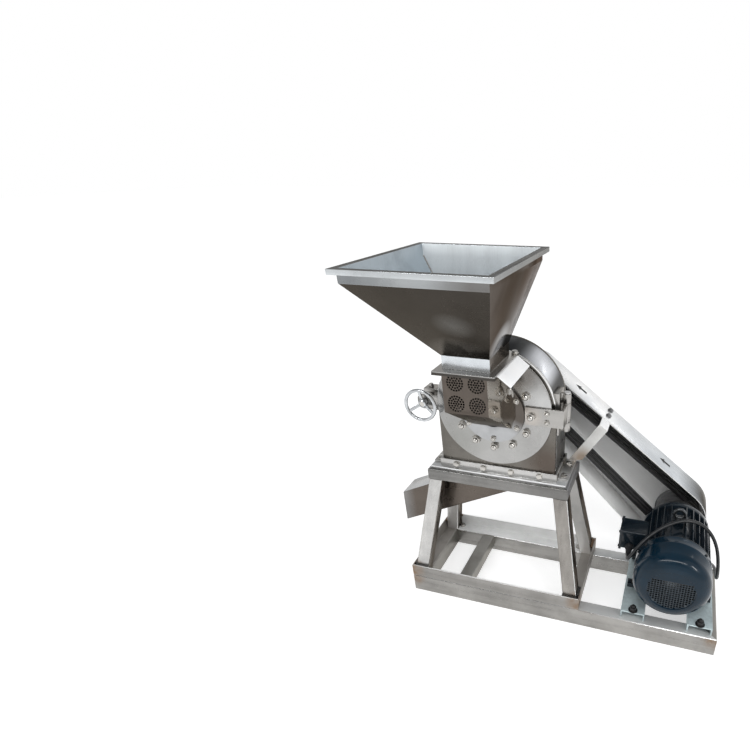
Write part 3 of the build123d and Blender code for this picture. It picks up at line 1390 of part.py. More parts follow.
print("cord bend radii", [round(radius) for radius in bend_radii])
with BuildPart() as power_cord:
    with BuildLine() as cord_path:
        FilletPolyline(*points, radius=bend_radii)
    with BuildSketch(Plane(origin=points[0], z_dir=points[1] - points[0])) as cord_section:
        Circle(cord_radius)
    sweep(cord_section.sketch, path=cord_path.wires()[0])
save(power_cord, "power_cord")

# The cord's length and the coil's least gap to itself
sample_count = 720
samples = coil_path.wires()[0].positions([i / sample_count for i in range(sample_count + 1)])
half_loop = round(pi * coil_inner_radius / coil_path.wires()[0].length * sample_count)
least_gap = min((samples[j] - samples[i]).length - 2 * cord_radius
                for i in range(sample_count) for j in range(i + half_loop, sample_count + 1))
print("coil: least gap to itself", round(least_gap, 2))
print("cord length", round(cord_path.wires()[0].length + coil_path.wires()[0].length))
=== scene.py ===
import json
from math import atan2, cos, hypot, pi, radians, sin

import bpy
from mathutils import Matrix, Vector


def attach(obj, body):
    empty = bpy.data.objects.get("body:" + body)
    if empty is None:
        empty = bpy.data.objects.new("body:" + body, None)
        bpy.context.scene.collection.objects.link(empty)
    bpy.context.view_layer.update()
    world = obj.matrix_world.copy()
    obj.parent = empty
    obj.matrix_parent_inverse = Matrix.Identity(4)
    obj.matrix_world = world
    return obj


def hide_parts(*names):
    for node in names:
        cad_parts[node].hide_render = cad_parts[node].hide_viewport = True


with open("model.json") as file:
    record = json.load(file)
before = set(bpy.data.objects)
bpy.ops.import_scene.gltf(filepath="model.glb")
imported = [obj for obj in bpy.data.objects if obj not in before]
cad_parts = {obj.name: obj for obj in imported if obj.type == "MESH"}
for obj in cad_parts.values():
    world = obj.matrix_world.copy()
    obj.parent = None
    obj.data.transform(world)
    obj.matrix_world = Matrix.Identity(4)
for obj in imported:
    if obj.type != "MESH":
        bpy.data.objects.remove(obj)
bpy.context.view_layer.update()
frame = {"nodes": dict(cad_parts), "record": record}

nodes = frame["nodes"]
body_of = {node: body for body, names in frame["record"]["behaviour"]["bodies"].items() for node in names}
slot_of = {part["node"]: part["material_slot"] for part in frame["record"]["subparts"]}

# Lengths and places are in millimetres.
MM = 0.001
origin, front, rear, up = (0, 0, 0), (0, -1, 0), (0, 1, 0), (0, 0, 1)
left, right = (-1, 0, 0), (1, 0, 0)
mill_shaft = Vector((-191, 0, 619))
motor_axis = Vector((312, 0, 196))
drive_run = motor_axis - mill_shaft
drive_slope = atan2(-drive_run.z, drive_run.x)
guard_normal, guard_run = Vector((0.6169, 0, 0.7870)), Vector((0.7870, 0, -0.6169))
guard_top = Vector((72.4, 0, 514.15))

crisp_angle = 32  # degrees: edges sharper than this stay crisp
flat_angle = 0.5  # degrees: a solid's triangles within this angle make one flat face
seam_gap = 0.02  # points of a new form closer than this are one
solid_gap = 0.005  # and so are points of a solid's own triangles


# ---- workbench: the few moves that every piece is made with ----

def lay_down():
    """Back to object mode, with nothing in hand."""
    if bpy.context.object is not None and bpy.context.object.mode == "EDIT":
        bpy.ops.object.mode_set(mode="OBJECT")
    bpy.ops.object.select_all(action="DESELECT")


def pick_up(*pieces):
    """Selects these pieces, the last one active."""
    lay_down()
    for piece in pieces:
        piece.select_set(True)
    bpy.context.view_layer.objects.active = pieces[-1]


def work_on(piece):
    """Edit mode on one piece, with all of it selected."""
    pick_up(piece)
    bpy.ops.object.mode_set(mode="EDIT")
    bpy.ops.mesh.select_all(action="SELECT")


def remove(piece):
    """Takes a piece off the bench."""
    pick_up(piece)
    bpy.ops.object.delete()


def choose(piece, kind, wanted):
    """Selects the faces or edges for which wanted(part) is true, and stays in edit mode."""
    work_on(piece)
    bpy.ops.mesh.select_mode(type=kind)
    bpy.ops.mesh.select_all(action="DESELECT")
    bpy.ops.object.mode_set(mode="OBJECT")
    for part in piece.data.polygons if kind == "FACE" else piece.data.edges:
        part.select = wanted(part)
    bpy.ops.object.mode_set(mode="EDIT")


def choose_faces(piece, wanted):
    """Selects the faces for which wanted(centre, normal) is true, and stays in edit mode."""
    choose(piece, "FACE", lambda face: wanted(face.center / MM, face.normal))


def close_up(piece):
    """Closes seams and poles and turns every face outwards."""
    work_on(piece)
    bpy.ops.mesh.remove_doubles(threshold=seam_gap * MM)
    bpy.ops.mesh.normals_make_consistent(inside=False)
    lay_down()
    return piece


def fix_place():
    """Puts the place of what is in hand into its mesh."""
    bpy.ops.object.transform_apply(location=True, rotation=True, scale=True)


def set_down(piece, point, turning):
    """Puts a piece at a point, turned by a matrix."""
    pick_up(piece)
    piece.matrix_world = Matrix.Translation(Vector(point) * MM) @ turning
    fix_place()


def lifted(piece, height):
    """Moves a piece up."""
    work_on(piece)
    bpy.ops.transform.translate(value=(0, 0, height * MM))
    lay_down()
    return piece


def fit(piece, kind, **settings):
    """Adds a modifier with its settings and applies it."""
    pick_up(piece)
    modifier = piece.modifiers.new(kind.lower(), kind)
    for name, value in settings.items():
        setattr(modifier, name, value)
    bpy.ops.object.modifier_apply(modifier=modifier.name)


def punch(piece, cutter):
    """Cuts one piece out of another. The cutter is kept."""
    fit(piece, "BOOLEAN", operation="DIFFERENCE", solver="EXACT", object=cutter)


def smooth(piece, angle=crisp_angle):
    """Smooth shading, with edges sharper than the angle in degrees left crisp."""
    pick_up(piece)
    bpy.ops.object.shade_smooth_by_angle(angle=radians(angle))
    lay_down()
    return piece


def ease(piece, width, segments=2):
    """Rounds the sharp edges by a small width."""
    fit(piece, "BEVEL", width=width * MM, segments=segments, limit_method="ANGLE", angle_limit=radians(crisp_angle),
        harden_normals=False, use_clamp_overlap=True)
    return smooth(piece)


def chain(name, points):
    """Edges through points, drawn out of one vertex. Stays in edit mode."""
    lay_down()
    bpy.ops.mesh.primitive_plane_add(size=MM, location=Vector(points[0]) * MM)
    piece = bpy.context.object
    piece.name = name
    fix_place()
    bpy.ops.object.mode_set(mode="EDIT")
    bpy.ops.mesh.select_mode(type="VERT")
    bpy.ops.mesh.select_all(action="SELECT")
    bpy.ops.mesh.merge(type="CENTER")
    for here, there in zip(points, points[1:]):
        step = (Vector(there) - Vector(here)) * MM
        bpy.ops.mesh.extrude_vertices_move(TRANSFORM_OT_translate={"value": step})
    return piece


def turned(name, centre, axis, profile, steps=48):
    """A turned form about an axis, from its outline of (radius, along)."""
    axis = Vector(axis).normalized()
    out = axis.orthogonal().normalized()
    piece = chain(name, [Vector(centre) + out * radius + axis * along for radius, along in profile])
    bpy.ops.mesh.select_all(action="SELECT")
    bpy.ops.mesh.spin(steps=steps, angle=2 * pi, center=Vector(centre) * MM, axis=axis)
    return close_up(piece)


def cut_out(name, outline, depth):
    """A flat outline, filled and pulled along depth."""
    piece = chain(name, outline)
    bpy.ops.mesh.select_all(action="SELECT")
    bpy.ops.mesh.edge_face_add()
    bpy.ops.mesh.select_all(action="SELECT")
    bpy.ops.mesh.extrude_region_move(TRANSFORM_OT_translate={"value": Vector(depth) * MM})
    return close_up(piece)


def prism(radius, depth, sides):
    """A plain prism about the origin, to cut with or to work on."""
    lay_down()
    bpy.ops.mesh.primitive_cylinder_add(vertices=sides, radius=radius * MM, depth=depth * MM)
    return bpy.context.object


def hexagon(name, across, height, chamfer):
    """A chamfered hexagon standing on the origin along +Z."""
    chamfer_rise = 0.55
    piece = lifted(prism(across / 2 / cos(pi / 6), height, 6), height / 2)
    piece.name = name
    choose_faces(piece, lambda centre, normal: normal.z > 0.9)
    bpy.ops.mesh.inset(thickness=chamfer * MM)
    bpy.ops.transform.translate(value=(0, 0, chamfer * chamfer_rise * MM))
    lay_down()
    return piece


def joined(name, pieces):
    """Several pieces made one."""
    pick_up(*pieces)
    bpy.ops.object.join()
    piece = bpy.context.object
    piece.name = name
    piece.data.name = name
    lay_down()
    return piece


def repeated(name, pattern, places):
    """Copies of a pattern that stands on the origin along +Z, as one piece, one at each place. A place is a point, a
    direction and a turn about it in degrees."""
    copies = []
    for point, direction, turn in places:
        pick_up(pattern)
        bpy.ops.object.duplicate(linked=False)
        copies.append(bpy.context.object)
        upright = Vector(direction).to_track_quat("Z", "Y").to_matrix().to_4x4()
        set_down(copies[-1], point, upright @ Matrix.Rotation(radians(turn), 4, "Z"))
    remove(pattern)
    return joined(name, copies)


def settle(piece, *stands_for, body=None, slot=None):
    """Gives a piece its body and the solids that it stands for."""
    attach(piece, body or body_of[stands_for[0]])
    if stands_for:
        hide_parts(*stands_for)


def dress(piece, material, *stands_for, body=None, slot=None):
    """Gives a piece its finish, its body and the solids that it stands for."""
    piece.data.materials.clear()
    piece.data.materials.append(material)
    settle(piece, *stands_for, body=body, slot=slot)


def finish_by_place(piece, rules, otherwise):
    """Gives each face the first finish whose rule(centre, normal) holds, or else the last finish."""
    piece.data.materials.clear()
    for material in [material for material, rule in rules] + [otherwise]:
        piece.data.materials.append(material)
    for face in piece.data.polygons:
        holding = (i for i, (_, rule) in enumerate(rules) if rule(face.center / MM, face.normal))
        face.material_index = next(holding, len(rules))


def new_object(name, data):
    """An object made from data, in the scene."""
    made = bpy.data.objects.new(name, data)
    bpy.context.scene.collection.objects.link(made)
    return made


def solid_copy(node):
    """A solid's own shape as a new piece, its triangles joined up."""
    piece = new_object(node + "_finished", nodes[node].data.copy())
    work_on(piece)
    bpy.ops.mesh.remove_doubles(threshold=solid_gap * MM)
    lay_down()
    return piece


def flat_copy(node):
    """A solid's copy with its flat faces whole. Stays in edit mode."""
    piece = solid_copy(node)
    work_on(piece)
    bpy.ops.mesh.dissolve_limited(angle_limit=radians(flat_angle))
    return piece


def bearing(angle):
    """The direction at an angle in degrees round a shaft, which runs along Y."""
    return Vector((cos(radians(angle)), 0, sin(radians(angle))))


def arc(middle, wide, high, angles):
    """Points of an outline on a round or oval arc, at angles in degrees."""
    return [(middle[0] + wide * cos(radians(a)), middle[1] + high * sin(radians(a))) for a in angles]


def off_axis(point, shaft):
    """How far a point lies from a shaft's axis."""
    return hypot(point.x - shaft.x, point.z - shaft.z)


# ---- finishes ----

class Finish:
    """A material's node tree, with short names for the nodes that the finishes share."""

    def __init__(self, name):
        self.material = bpy.data.materials.new(name)
        self.material.use_nodes = True
        self.tree = self.material.node_tree
        self.shader = self.tree.nodes["Principled BSDF"]
        self.place = self.add("ShaderNodeTexCoord").outputs["Object"]

    def add(self, kind, **settings):
        node = self.tree.nodes.new(kind)
        for name, value in settings.items():
            setattr(node, name, value)
        return node

    def feed(self, node, values):
        """Joins each socket named here to another node's output, or sets it to a constant."""
        for name, value in values.items():
            socket = node.inputs[name]
            if isinstance(value, bpy.types.NodeSocket):
                self.tree.links.new(value, socket)
            elif socket.type == "RGBA":
                socket.default_value = (*value, 1.0)
            else:
                socket.default_value = value
        return node

    def made(self, values):
        """Feeds the shader and gives the material."""
        self.feed(self.shader, values)
        return self.material

    def noise(self, scale, detail=3.0, stretch=None, rough=0.55, turn=None):
        """Noise on the piece's own place, turned and drawn out along an axis where turn and stretch say so."""
        source = self.place
        for name, value in (("Rotation", turn), ("Scale", stretch)):
            if value:
                source = self.feed(self.add("ShaderNodeMapping"), {name: value, "Vector": source}).outputs["Vector"]
        values = {"Scale": scale, "Detail": detail, "Roughness": rough, "Vector": source}
        return self.feed(self.add("ShaderNodeTexNoise"), values).outputs["Fac"]

    def ramp(self, source, *stops):
        """Colours at (position, colour) stops along a value."""
        ramp = self.add("ShaderNodeValToRGB")
        while len(ramp.color_ramp.elements) < len(stops):
            ramp.color_ramp.elements.new(0.5)
        for element, (position, colour) in zip(ramp.color_ramp.elements, stops):
            element.position = position
            element.color = (*colour, 1.0)
        return self.feed(ramp, {"Fac": source}).outputs["Color"]

    def span(self, source, low, high, start=0.3, stop=0.7):
        """A value between start and stop, carried over to low and high."""
        values = {"Value": source, "From Min": start, "From Max": stop, "To Min": low, "To Max": high}
        return self.feed(self.add("ShaderNodeMapRange"), values).outputs["Result"]

    def math(self, operation, first, second):
        return self.feed(self.add("ShaderNodeMath", operation=operation), {0: first, 1: second}).outputs["Value"]

    def mix(self, share, first, second):
        """Two colours mixed. The colour sockets share their names with others, so they go by number."""
        mix = self.add("ShaderNodeMix", data_type="RGBA", blend_type="MIX")
        return self.feed(mix, {"Factor": share, 6: first, 7: second}).outputs[2]

    def bump(self, source, strength, distance, under=None):
        """A normal raised by a pattern, over another normal where one is given."""
        values = {"Strength": strength, "Distance": distance * MM, "Height": source}
        if under is not None:
            values["Normal"] = under
        return self.feed(self.add("ShaderNodeBump"), values).outputs["Normal"]

    def near(self, points, inner, outer, counted=(1, 1, 1)):
        """1 close to any of these points, 0 further off. An axis with 0 in counted doesn't count."""
        counting = self.add("ShaderNodeVectorMath", operation="MULTIPLY")
        place = self.feed(counting, {0: self.place, 1: counted}).outputs["Vector"]
        total = None
        for point in points:
            away = self.add("ShaderNodeVectorMath", operation="DISTANCE")
            self.feed(away, {0: place, 1: Vector(point) * Vector(counted) * MM})
            here = self.span(away.outputs["Value"], 1.0, 0.0, inner * MM, outer * MM)
            total = here if total is None else self.math("MAXIMUM", total, here)
        return total


def shade(colour, factor):
    return tuple(min(1.0, c * factor) for c in colour)


straw = (0.20, 0.115, 0.055)


def steel(name, colour, grain="X", rough=(0.30, 0.42), marks=0.35, heat=(), heat_reach=(8, 46), wave=0.3, spots=(),
          counted=(1, 1, 1), metal=1.0, edge=(0.7, 0.68, 0.65), edge_spots=(), streak=1.22, speck=0.35, fine=30.0):
    """Brushed stainless sheet: fine lines along the grain, cloudy handling marks, a straw tint where it was welded,
    and spots of (place, inner reach, outer reach, colour), which are painted highlights, painted reflections and
    painted shade. The edge is its tint at a grazing view, with spots of its own that paint reflections too."""
    finish = Finish(name)
    along, across = 9.0, 1500.0
    lines = {"X": (along, across, across), "Y": (across, along, across), "Z": (across, across, along),
             "DRIVE": (along, across, across), "ROUND": (across * 0.4,) * 3}[grain]
    turn = (0, -drive_slope, 0) if grain == "DRIVE" else None
    brushed = finish.noise(1.0, 3.0, lines, 0.6, turn)
    smears = finish.noise(1.0, 3.0, tuple(2.6 if c == along else fine for c in lines), 0.55, turn)
    clouds = finish.noise(7.0, 4.0)
    dull = finish.noise(19.0, 5.0, None, 0.65)
    tone = finish.ramp(brushed, (0.32, shade(colour, 0.88)), (0.5, colour), (0.7, shade(colour, 1.1)))
    tone = finish.mix(finish.span(smears, 0.0, 0.55, 0.36, 0.66), tone, shade(colour, streak))
    tone = finish.mix(marks, tone, finish.ramp(clouds, (0.34, shade(colour, 0.62)), (0.66, shade(colour, 1.2))))
    tone = finish.mix(finish.span(dull, 0.0, speck, 0.54, 0.72), tone, shade(colour, 0.66))
    # the spots paint highlights, reflections and shade into the colour
    for place, inner, outer, spot in spots:
        cloudy = finish.ramp(clouds, (0.3, shade(spot, 0.82)), (0.7, shade(spot, 1.14)))
        tone = finish.mix(finish.near([place], inner, outer, counted), tone, cloudy)
    if heat:
        ragged = finish.span(finish.noise(60.0, 3.0), 0.35, 1.0)
        tone = finish.mix(finish.math("MULTIPLY", finish.near(heat, *heat_reach), ragged), tone, straw)
    # the edge spots paint reflection colour into the grazing tint
    for place, inner, outer, spot in edge_spots:
        edge = finish.mix(finish.near([place], inner, outer), edge, spot)
    uneven = finish.math("ADD", finish.span(dull, -0.02, 0.07, 0.4, 0.7), finish.span(smears, *rough))
    sheet = finish.bump(finish.noise(9.0, 2.0), wave * 0.2, 0.8)
    return finish.made({"Base Color": tone, "Metallic": metal, "Specular Tint": edge, "Roughness": uneven,
                        "Normal": finish.bump(brushed, 0.05, 0.03, sheet)})


def polished(name, colour, rough):
    """Polished plated steel with faint wipe marks."""
    finish = Finish(name)
    wipe = finish.noise(70.0, 3.0)
    tone = finish.ramp(wipe, (0.3, shade(colour, 0.8)), (0.7, shade(colour, 1.1)))
    return finish.made({"Base Color": tone, "Metallic": 1.0, "Roughness": finish.span(wipe, *rough),
                        "Normal": finish.bump(finish.noise(900.0, 2.0), 0.04, 0.02)})


def paint(name, colour, worn, rough, coat, dust, shine=0.3):
    """Sprayed enamel with orange peel, a little dust and rubbed patches."""
    finish = Finish(name)
    clouds = finish.noise(16.0, 4.0)
    specks = finish.noise(240.0, 2.0)
    tone = finish.ramp(clouds, (0.3, shade(colour, 0.75)), (0.7, shade(colour, 1.2)))
    tone = finish.mix(finish.span(specks, 0.0, dust, 0.62, 0.8), tone, worn)
    return finish.made({"Base Color": tone, "Roughness": finish.span(clouds, *rough), "Specular IOR Level": shine,
                        "Coat Weight": coat, "Coat Roughness": 0.06,
                        "Normal": finish.bump(finish.noise(480.0, 2.0), 0.08, 0.12)})


def moulded(name, colour, rough=(0.38, 0.6), grain=900.0, depth=0.06):
    """Moulded rubber or plastic: fine grain, dust in the hollows."""
    finish = Finish(name)
    clouds = finish.noise(30.0, 4.0)
    tone = finish.ramp(clouds, (0.3, shade(colour, 0.7)), (0.55, colour), (0.78, shade(colour, 1.9)))
    return finish.made({"Base Color": tone, "Roughness": finish.span(clouds, *rough),
                        "Normal": finish.bump(finish.noise(grain, 2.0), 0.22, depth)})


def rough_metal(name, colour, metal, rough, grain=160.0):
    """Cast, blackened or plated metal with a mottled skin."""
    finish = Finish(name)
    skin = finish.noise(grain, 4.0)
    clouds = finish.noise(18.0, 4.0)
    tone = finish.ramp(clouds, (0.3, shade(colour, 0.7)), (0.7, shade(colour, 1.25)))
    tone = finish.mix(finish.span(skin, 0.0, 0.4, 0.5, 0.75), tone, shade(colour, 0.55))
    return finish.made({"Base Color": tone, "Metallic": metal, "Roughness": finish.span(skin, *rough),
                        "Normal": finish.bump(skin, 0.16, 0.15)})


# base and stand
corners = [(x, y, 80) for x in (-450, 72) for y in (-143, 143)]
rail_ends = [(x, y, 60) for x in (-450, 450) for y in (-143, 143)]
foot_reach = (14, 44)
steel_rail = steel("brushed_rail", (0.285, 0.277, 0.264), "X", (0.24, 0.36), 0.65, rail_ends, streak=2.0, fine=70.0)
# painted light: a lighter copy of the rail's steel for the rails' top faces
steel_rail_top = steel("brushed_rail_top", (0.62, 0.625, 0.62), "X", (0.4, 0.5), 0.35, metal=0.6)
steel_cross = steel("brushed_cross_rail", (0.33, 0.32, 0.30), "Y", (0.3, 0.42), 0.45, metal=0.85)
# painted light and shade: the angle ring is near white and mostly diffuse, its front faces and its ends are darker
# copies
steel_ring = steel("brushed_angle_ring", (0.86, 0.87, 0.86), "X", (0.38, 0.5), 0.4, corners, metal=0.25)
steel_ring_front = steel("brushed_ring_front", (0.27, 0.262, 0.25), "X", (0.26, 0.38), 0.65, corners, streak=2.0,
                         fine=80.0)
steel_ring_end = steel("brushed_angle_end", (0.36, 0.34, 0.318), "Y", (0.38, 0.5), 0.4, corners, metal=0.6)
# painted light and shade: the legs' right faces get a darker copy, the back legs' faces and the left legs' front faces
# lighter copies
steel_leg = steel("brushed_leg", (0.275, 0.26, 0.242), "Z", (0.22, 0.34), 0.65, corners, foot_reach, streak=2.1,
                  fine=75.0)
steel_leg_side = steel("brushed_leg_side", (0.36, 0.345, 0.325), "Z", (0.22, 0.34), 0.5, corners, foot_reach,
                       streak=1.8, fine=75.0, edge=(0.17, 0.152, 0.138))
steel_leg_back = steel("brushed_back_leg", (0.55, 0.54, 0.525), "Z", (0.34, 0.46), 0.4, corners, foot_reach, metal=0.5)
steel_leg_left = steel("brushed_left_leg", (0.48, 0.475, 0.465), "Z", (0.22, 0.34), 0.65, corners, foot_reach,
                       streak=1.9, fine=75.0)
# painted highlight: a near-white copy of the steel for the rounded front edges of rails and legs
steel_edge = steel("painted_edge_highlight", (0.88, 0.885, 0.88), "X", (0.2, 0.3), 0.3, metal=0.7)
# painted shade and light: the top ring's sides are a darker copy of its steel, its ends a lighter one
steel_top_ring = steel("brushed_top_ring", (0.18, 0.177, 0.171), "X", (0.22, 0.34), 0.6, streak=2.0, fine=75.0)
steel_top_ring_end = steel("brushed_top_ring_end", (0.28, 0.28, 0.288), "Y", (0.3, 0.42), 0.4, metal=0.85)
steel_plate = steel("ground_plate", (0.70, 0.705, 0.71), "X", (0.28, 0.4), 0.3)
weld_brown = rough_metal("heat_stained_weld", (0.17, 0.105, 0.06), 0.7, (0.3, 0.5), 220.0)

# housing and door
steel_flange = steel("bright_flange", (0.44, 0.435, 0.425), "X", (0.22, 0.34), 0.5)
# painted reflections: a bright band on the shell's upper right, dark at its top, darker at its right and lighter low on
# its right, each straight across the shell
steel_shell = steel(
    "rolled_shell", (0.19, 0.19, 0.19), "Y", (0.24, 0.34), 0.15, counted=(1, 0, 1), speck=0.1, edge=(0.48, 0.48, 0.48),
    spots=[((-78, 0, 738), 30, 62, (0.78, 0.795, 0.83)), ((-205, 0, 783), 56, 118, (0.05, 0.052, 0.054)),
           ((-30, 0, 655), 16, 48, (0.10, 0.098, 0.094)), ((-27, 0, 500), 10, 90, (0.42, 0.415, 0.405))])
# painted shade: a darker, browner patch low on the right of the front plate
steel_front = steel("housing_front_sheet", (0.142, 0.133, 0.12), "Z", (0.2, 0.32), 0.5,
                    spots=[((-52, -49, 478), 20, 80, (0.10, 0.083, 0.071))])
# painted highlight: a bright copy of the steel for the upper half of the rim round the mouth
steel_lip = steel("housing_lip", (0.80, 0.80, 0.795), "ROUND", (0.12, 0.2), 0.25)
# painted reflection and shade: a darker patch by the feed box, a lighter patch right of the boss and a lighter one low
# on the left
steel_door = steel(
    "turned_door", (0.355, 0.352, 0.345), "ROUND", (0.18, 0.3), 0.45,
    spots=[((-112, -64, 722), 22, 52, (0.21, 0.2, 0.188)), ((-52, -64, 655), 15, 55, (0.46, 0.46, 0.455)),
           ((-290, -64, 520), 20, 90, (0.29, 0.29, 0.278))])
# painted shade: a darker, browner patch on the boss's right, beside the feed box
steel_boss = steel("turned_boss", (0.36, 0.365, 0.372), "ROUND", (0.07, 0.13), 0.25, wave=0.12,
                   spots=[((-106, -72, 640), 40, 82, (0.10, 0.088, 0.078))])
# painted highlight, tinted brown: a lighter spot round the strap's left bolt
steel_strap = steel("brushed_strap", (0.39, 0.38, 0.365), "X", (0.22, 0.34), 0.5,
                    spots=[((-88, -70, 619), 10, 34, (0.47, 0.435, 0.40))])
bright_nut = polished("bright_nut", (0.50, 0.485, 0.46), (0.08, 0.18))
bright_wheel = polished("plated_wheel", (0.52, 0.535, 0.55), (0.07, 0.16))
shaft_steel = polished("ground_shaft", (0.5, 0.5, 0.5), (0.14, 0.26))
tooth_steel = steel("tooth_disc_steel", (0.42, 0.415, 0.40), "ROUND", marks=0.3)
bearing_grey = rough_metal("cast_bearing_housing", (0.30, 0.305, 0.31), 0.6, (0.35, 0.5))
seal_rubber = moulded("seal_rubber", (0.032, 0.032, 0.033), (0.55, 0.75))

# hopper, feed and chute
# painted light and reflection: the band below the rim is a lighter copy of the front sheet, darker towards both ends
steel_band = steel(
    "hopper_band", (0.365, 0.38, 0.388), "X", (0.18, 0.3), 0.45,
    spots=[((-60, -400, 1003), 40, 120, (0.168, 0.163, 0.158)), ((-350, -387, 1003), 30, 120, (0.225, 0.236, 0.245))])
# painted light and shade: the rim's front is a light copy, its top and sides darker copies; the neck is light with a
# darker right side
steel_rim = steel("hopper_rim", (0.56, 0.585, 0.60), "X", (0.16, 0.26), 0.4)
steel_rim_top = steel("hopper_rim_top", (0.42, 0.425, 0.43), "X", (0.2, 0.3), 0.4, edge=(0.2, 0.195, 0.185))
steel_rim_side = steel("hopper_rim_side", (0.37, 0.375, 0.375), "Y", (0.18, 0.28), 0.4, edge=(0.55, 0.54, 0.52))
steel_neck = steel("hopper_neck", (0.60, 0.63, 0.655), "X", (0.2, 0.32), 0.4)
steel_neck_side = steel("hopper_neck_side", (0.21, 0.195, 0.182), "Y", (0.12, 0.2), 0.4, edge=(0.55, 0.52, 0.49))
# painted reflection and shade: the front sheet is a dark copy of the hopper's steel, with lighter patches in its middle
# and low down
steel_hopper_front = steel(
    "hopper_front_sheet", (0.050, 0.0445, 0.039), "Z", (0.2, 0.3), 0.3, wave=0.15, speck=0.12, edge=(0.62, 0.6, 0.57),
    spots=[((-170, -304, 907), 2, 46, (0.12, 0.116, 0.11)), ((-195, -225, 820), 10, 75, (0.16, 0.15, 0.138))])
# painted reflection: the outer sides are a dark brown copy of the steel, with a brown and a white grazing tint painted
# at two spots
steel_hopper_side = steel(
    "hopper_side_sheet", (0.125, 0.111, 0.10), "Z", (0.06, 0.12), 0.25, wave=0.1, speck=0.12, edge=(0.39, 0.37, 0.355),
    edge_spots=[((-68, -75, 985), 30, 130, (0.19, 0.14, 0.108)), ((-129, -192, 834), 30, 64, (0.97, 0.98, 0.99))])
# painted light: the inside is a near-white copy of the steel, its left wall a bluish, darker copy
steel_hopper_left = steel("hopper_left_inside", (0.34, 0.385, 0.42), "Z", (0.3, 0.42), 0.15, wave=0.1, metal=0.8)
steel_hopper_inside = steel("hopper_inside_sheet", (0.60, 0.635, 0.655), "Z", (0.36, 0.48), 0.15, wave=0.1, metal=0.8)
steel_weld = steel("hopper_weld", (0.17, 0.165, 0.16), "Z", (0.2, 0.3), 0.5)
# painted shade and light: the feed box's front and back are a dark copy of its steel, its sides a bright, glossy copy
steel_feed = steel("feed_box_sheet", (0.115, 0.098, 0.085), "Z", (0.24, 0.36), 0.35)
steel_feed_side = steel("feed_box_side_sheet", (0.59, 0.56, 0.52), "Z", (0.06, 0.12), 0.3, wave=0.15, speck=0.15)
# painted reflection: the hopper's flange plate is a darker copy of the neck's steel
steel_guide = steel("flange_plate", (0.345, 0.34, 0.332), "X", (0.2, 0.3), 0.4, metal=0.9)
steel_slot = steel("gate_slot_edge", (0.07, 0.064, 0.058), "X", (0.26, 0.38), 0.4)
# painted light: the stainless gate is a near-white, barely metallic sheet
steel_gate = steel("gate_sheet", (0.95, 0.965, 0.98), "X", (0.34, 0.44), 0.08, metal=0.05, speck=0.1)
wing_steel = rough_metal("dulled_wing_screw", (0.30, 0.29, 0.275), 0.95, (0.12, 0.24), 260.0)
# painted highlight on the chute mouth's left edge, and painted light on the chute's top faces
steel_chute = steel("chute_sheet", (0.115, 0.098, 0.085), "X", (0.2, 0.32), 0.35, speck=0.2, counted=(1, 0, 0),
                    spots=[((-515, 0, 0), 6, 40, (0.20, 0.195, 0.19))])
steel_chute_top = steel("chute_top_sheet", (0.50, 0.515, 0.53), "X", (0.2, 0.32), 0.35, metal=0.85)

# belt guard
# painted light and shade: the guard's inside is a near-white, mostly diffuse copy, its back darker; the rim has a
# painted highlight at its upper end and painted shade at its lower end
steel_guard = steel("guard_sheet", (0.95, 0.955, 0.94), "DRIVE", (0.36, 0.48), 0.25, metal=0.15, speck=0.15)
steel_guard_back = steel("guard_back_sheet", (0.45, 0.435, 0.41), "DRIVE", (0.24, 0.36), 0.45)
steel_guard_rim = steel(
    "guard_rim_sheet", (0.70, 0.735, 0.77), "DRIVE", (0.22, 0.34), 0.3,
    spots=[((10, 225, 570), 90, 290, (0.92, 0.95, 0.98)), ((425, 225, 225), 60, 170, (0.04, 0.039, 0.037))])
# painted highlight: a bright spot where the strip meets the rim and a bright copy on its face along the rim; darker and
# browner at its foot
steel_strip = steel(
    "guard_strip_sheet", (0.55, 0.55, 0.535), "X", (0.28, 0.4), 0.4, metal=0.8,
    spots=[((70, 200, 510), 30, 75, (0.95, 0.96, 0.97)), ((20, 75, 432), 12, 42, (0.27, 0.22, 0.175))])
steel_strip_top = steel("guard_strip_top", (0.95, 0.955, 0.96), "Y", (0.3, 0.4), 0.15, metal=0.3, speck=0.1)
cast_grey = rough_metal("cast_pulley", (0.24, 0.24, 0.245), 0.85, (0.3, 0.45))
belt_rubber = moulded("belt_rubber", (0.010, 0.0098, 0.0098), (0.3, 0.46), 700.0, 0.08)
arrow_black = moulded("arrow_ink", (0.006, 0.006, 0.006), (0.5, 0.7), 500.0, 0.02)

# motor and cord
steel_rail_plate = rough_metal("plated_motor_rail", (0.50, 0.59, 0.61), 0.4, (0.38, 0.52), 120.0)
eye_steel = rough_metal("dark_lifting_eye", (0.10, 0.105, 0.11), 0.9, (0.16, 0.3), 220.0)
black_bolt = rough_metal("blackened_bolt", (0.016, 0.016, 0.017), 0.3, (0.3, 0.5), 300.0)
cowl_blue = paint("dark_blue_enamel", (0.002, 0.0155, 0.030), (0.03, 0.045, 0.06), (0.11, 0.18), 0.0, 0.1, 0.26)
grille_worn = paint("worn_grille", (0.045, 0.058, 0.07), (0.16, 0.165, 0.17), (0.2, 0.35), 0.0, 0.5)
motor_black = paint("black_enamel", (0.007, 0.0125, 0.0185), (0.025, 0.03, 0.036), (0.12, 0.22), 0.2, 0.2)
fan_black = moulded("fan_plastic", (0.012, 0.012, 0.013))
cord_sheath = moulded("cord_sheath", (0.0055, 0.007, 0.0085), (0.28, 0.42), 600.0, 0.05)
plug_plastic = moulded("plug_plastic", (0.016, 0.016, 0.018), (0.4, 0.58), 1400.0, 0.08)

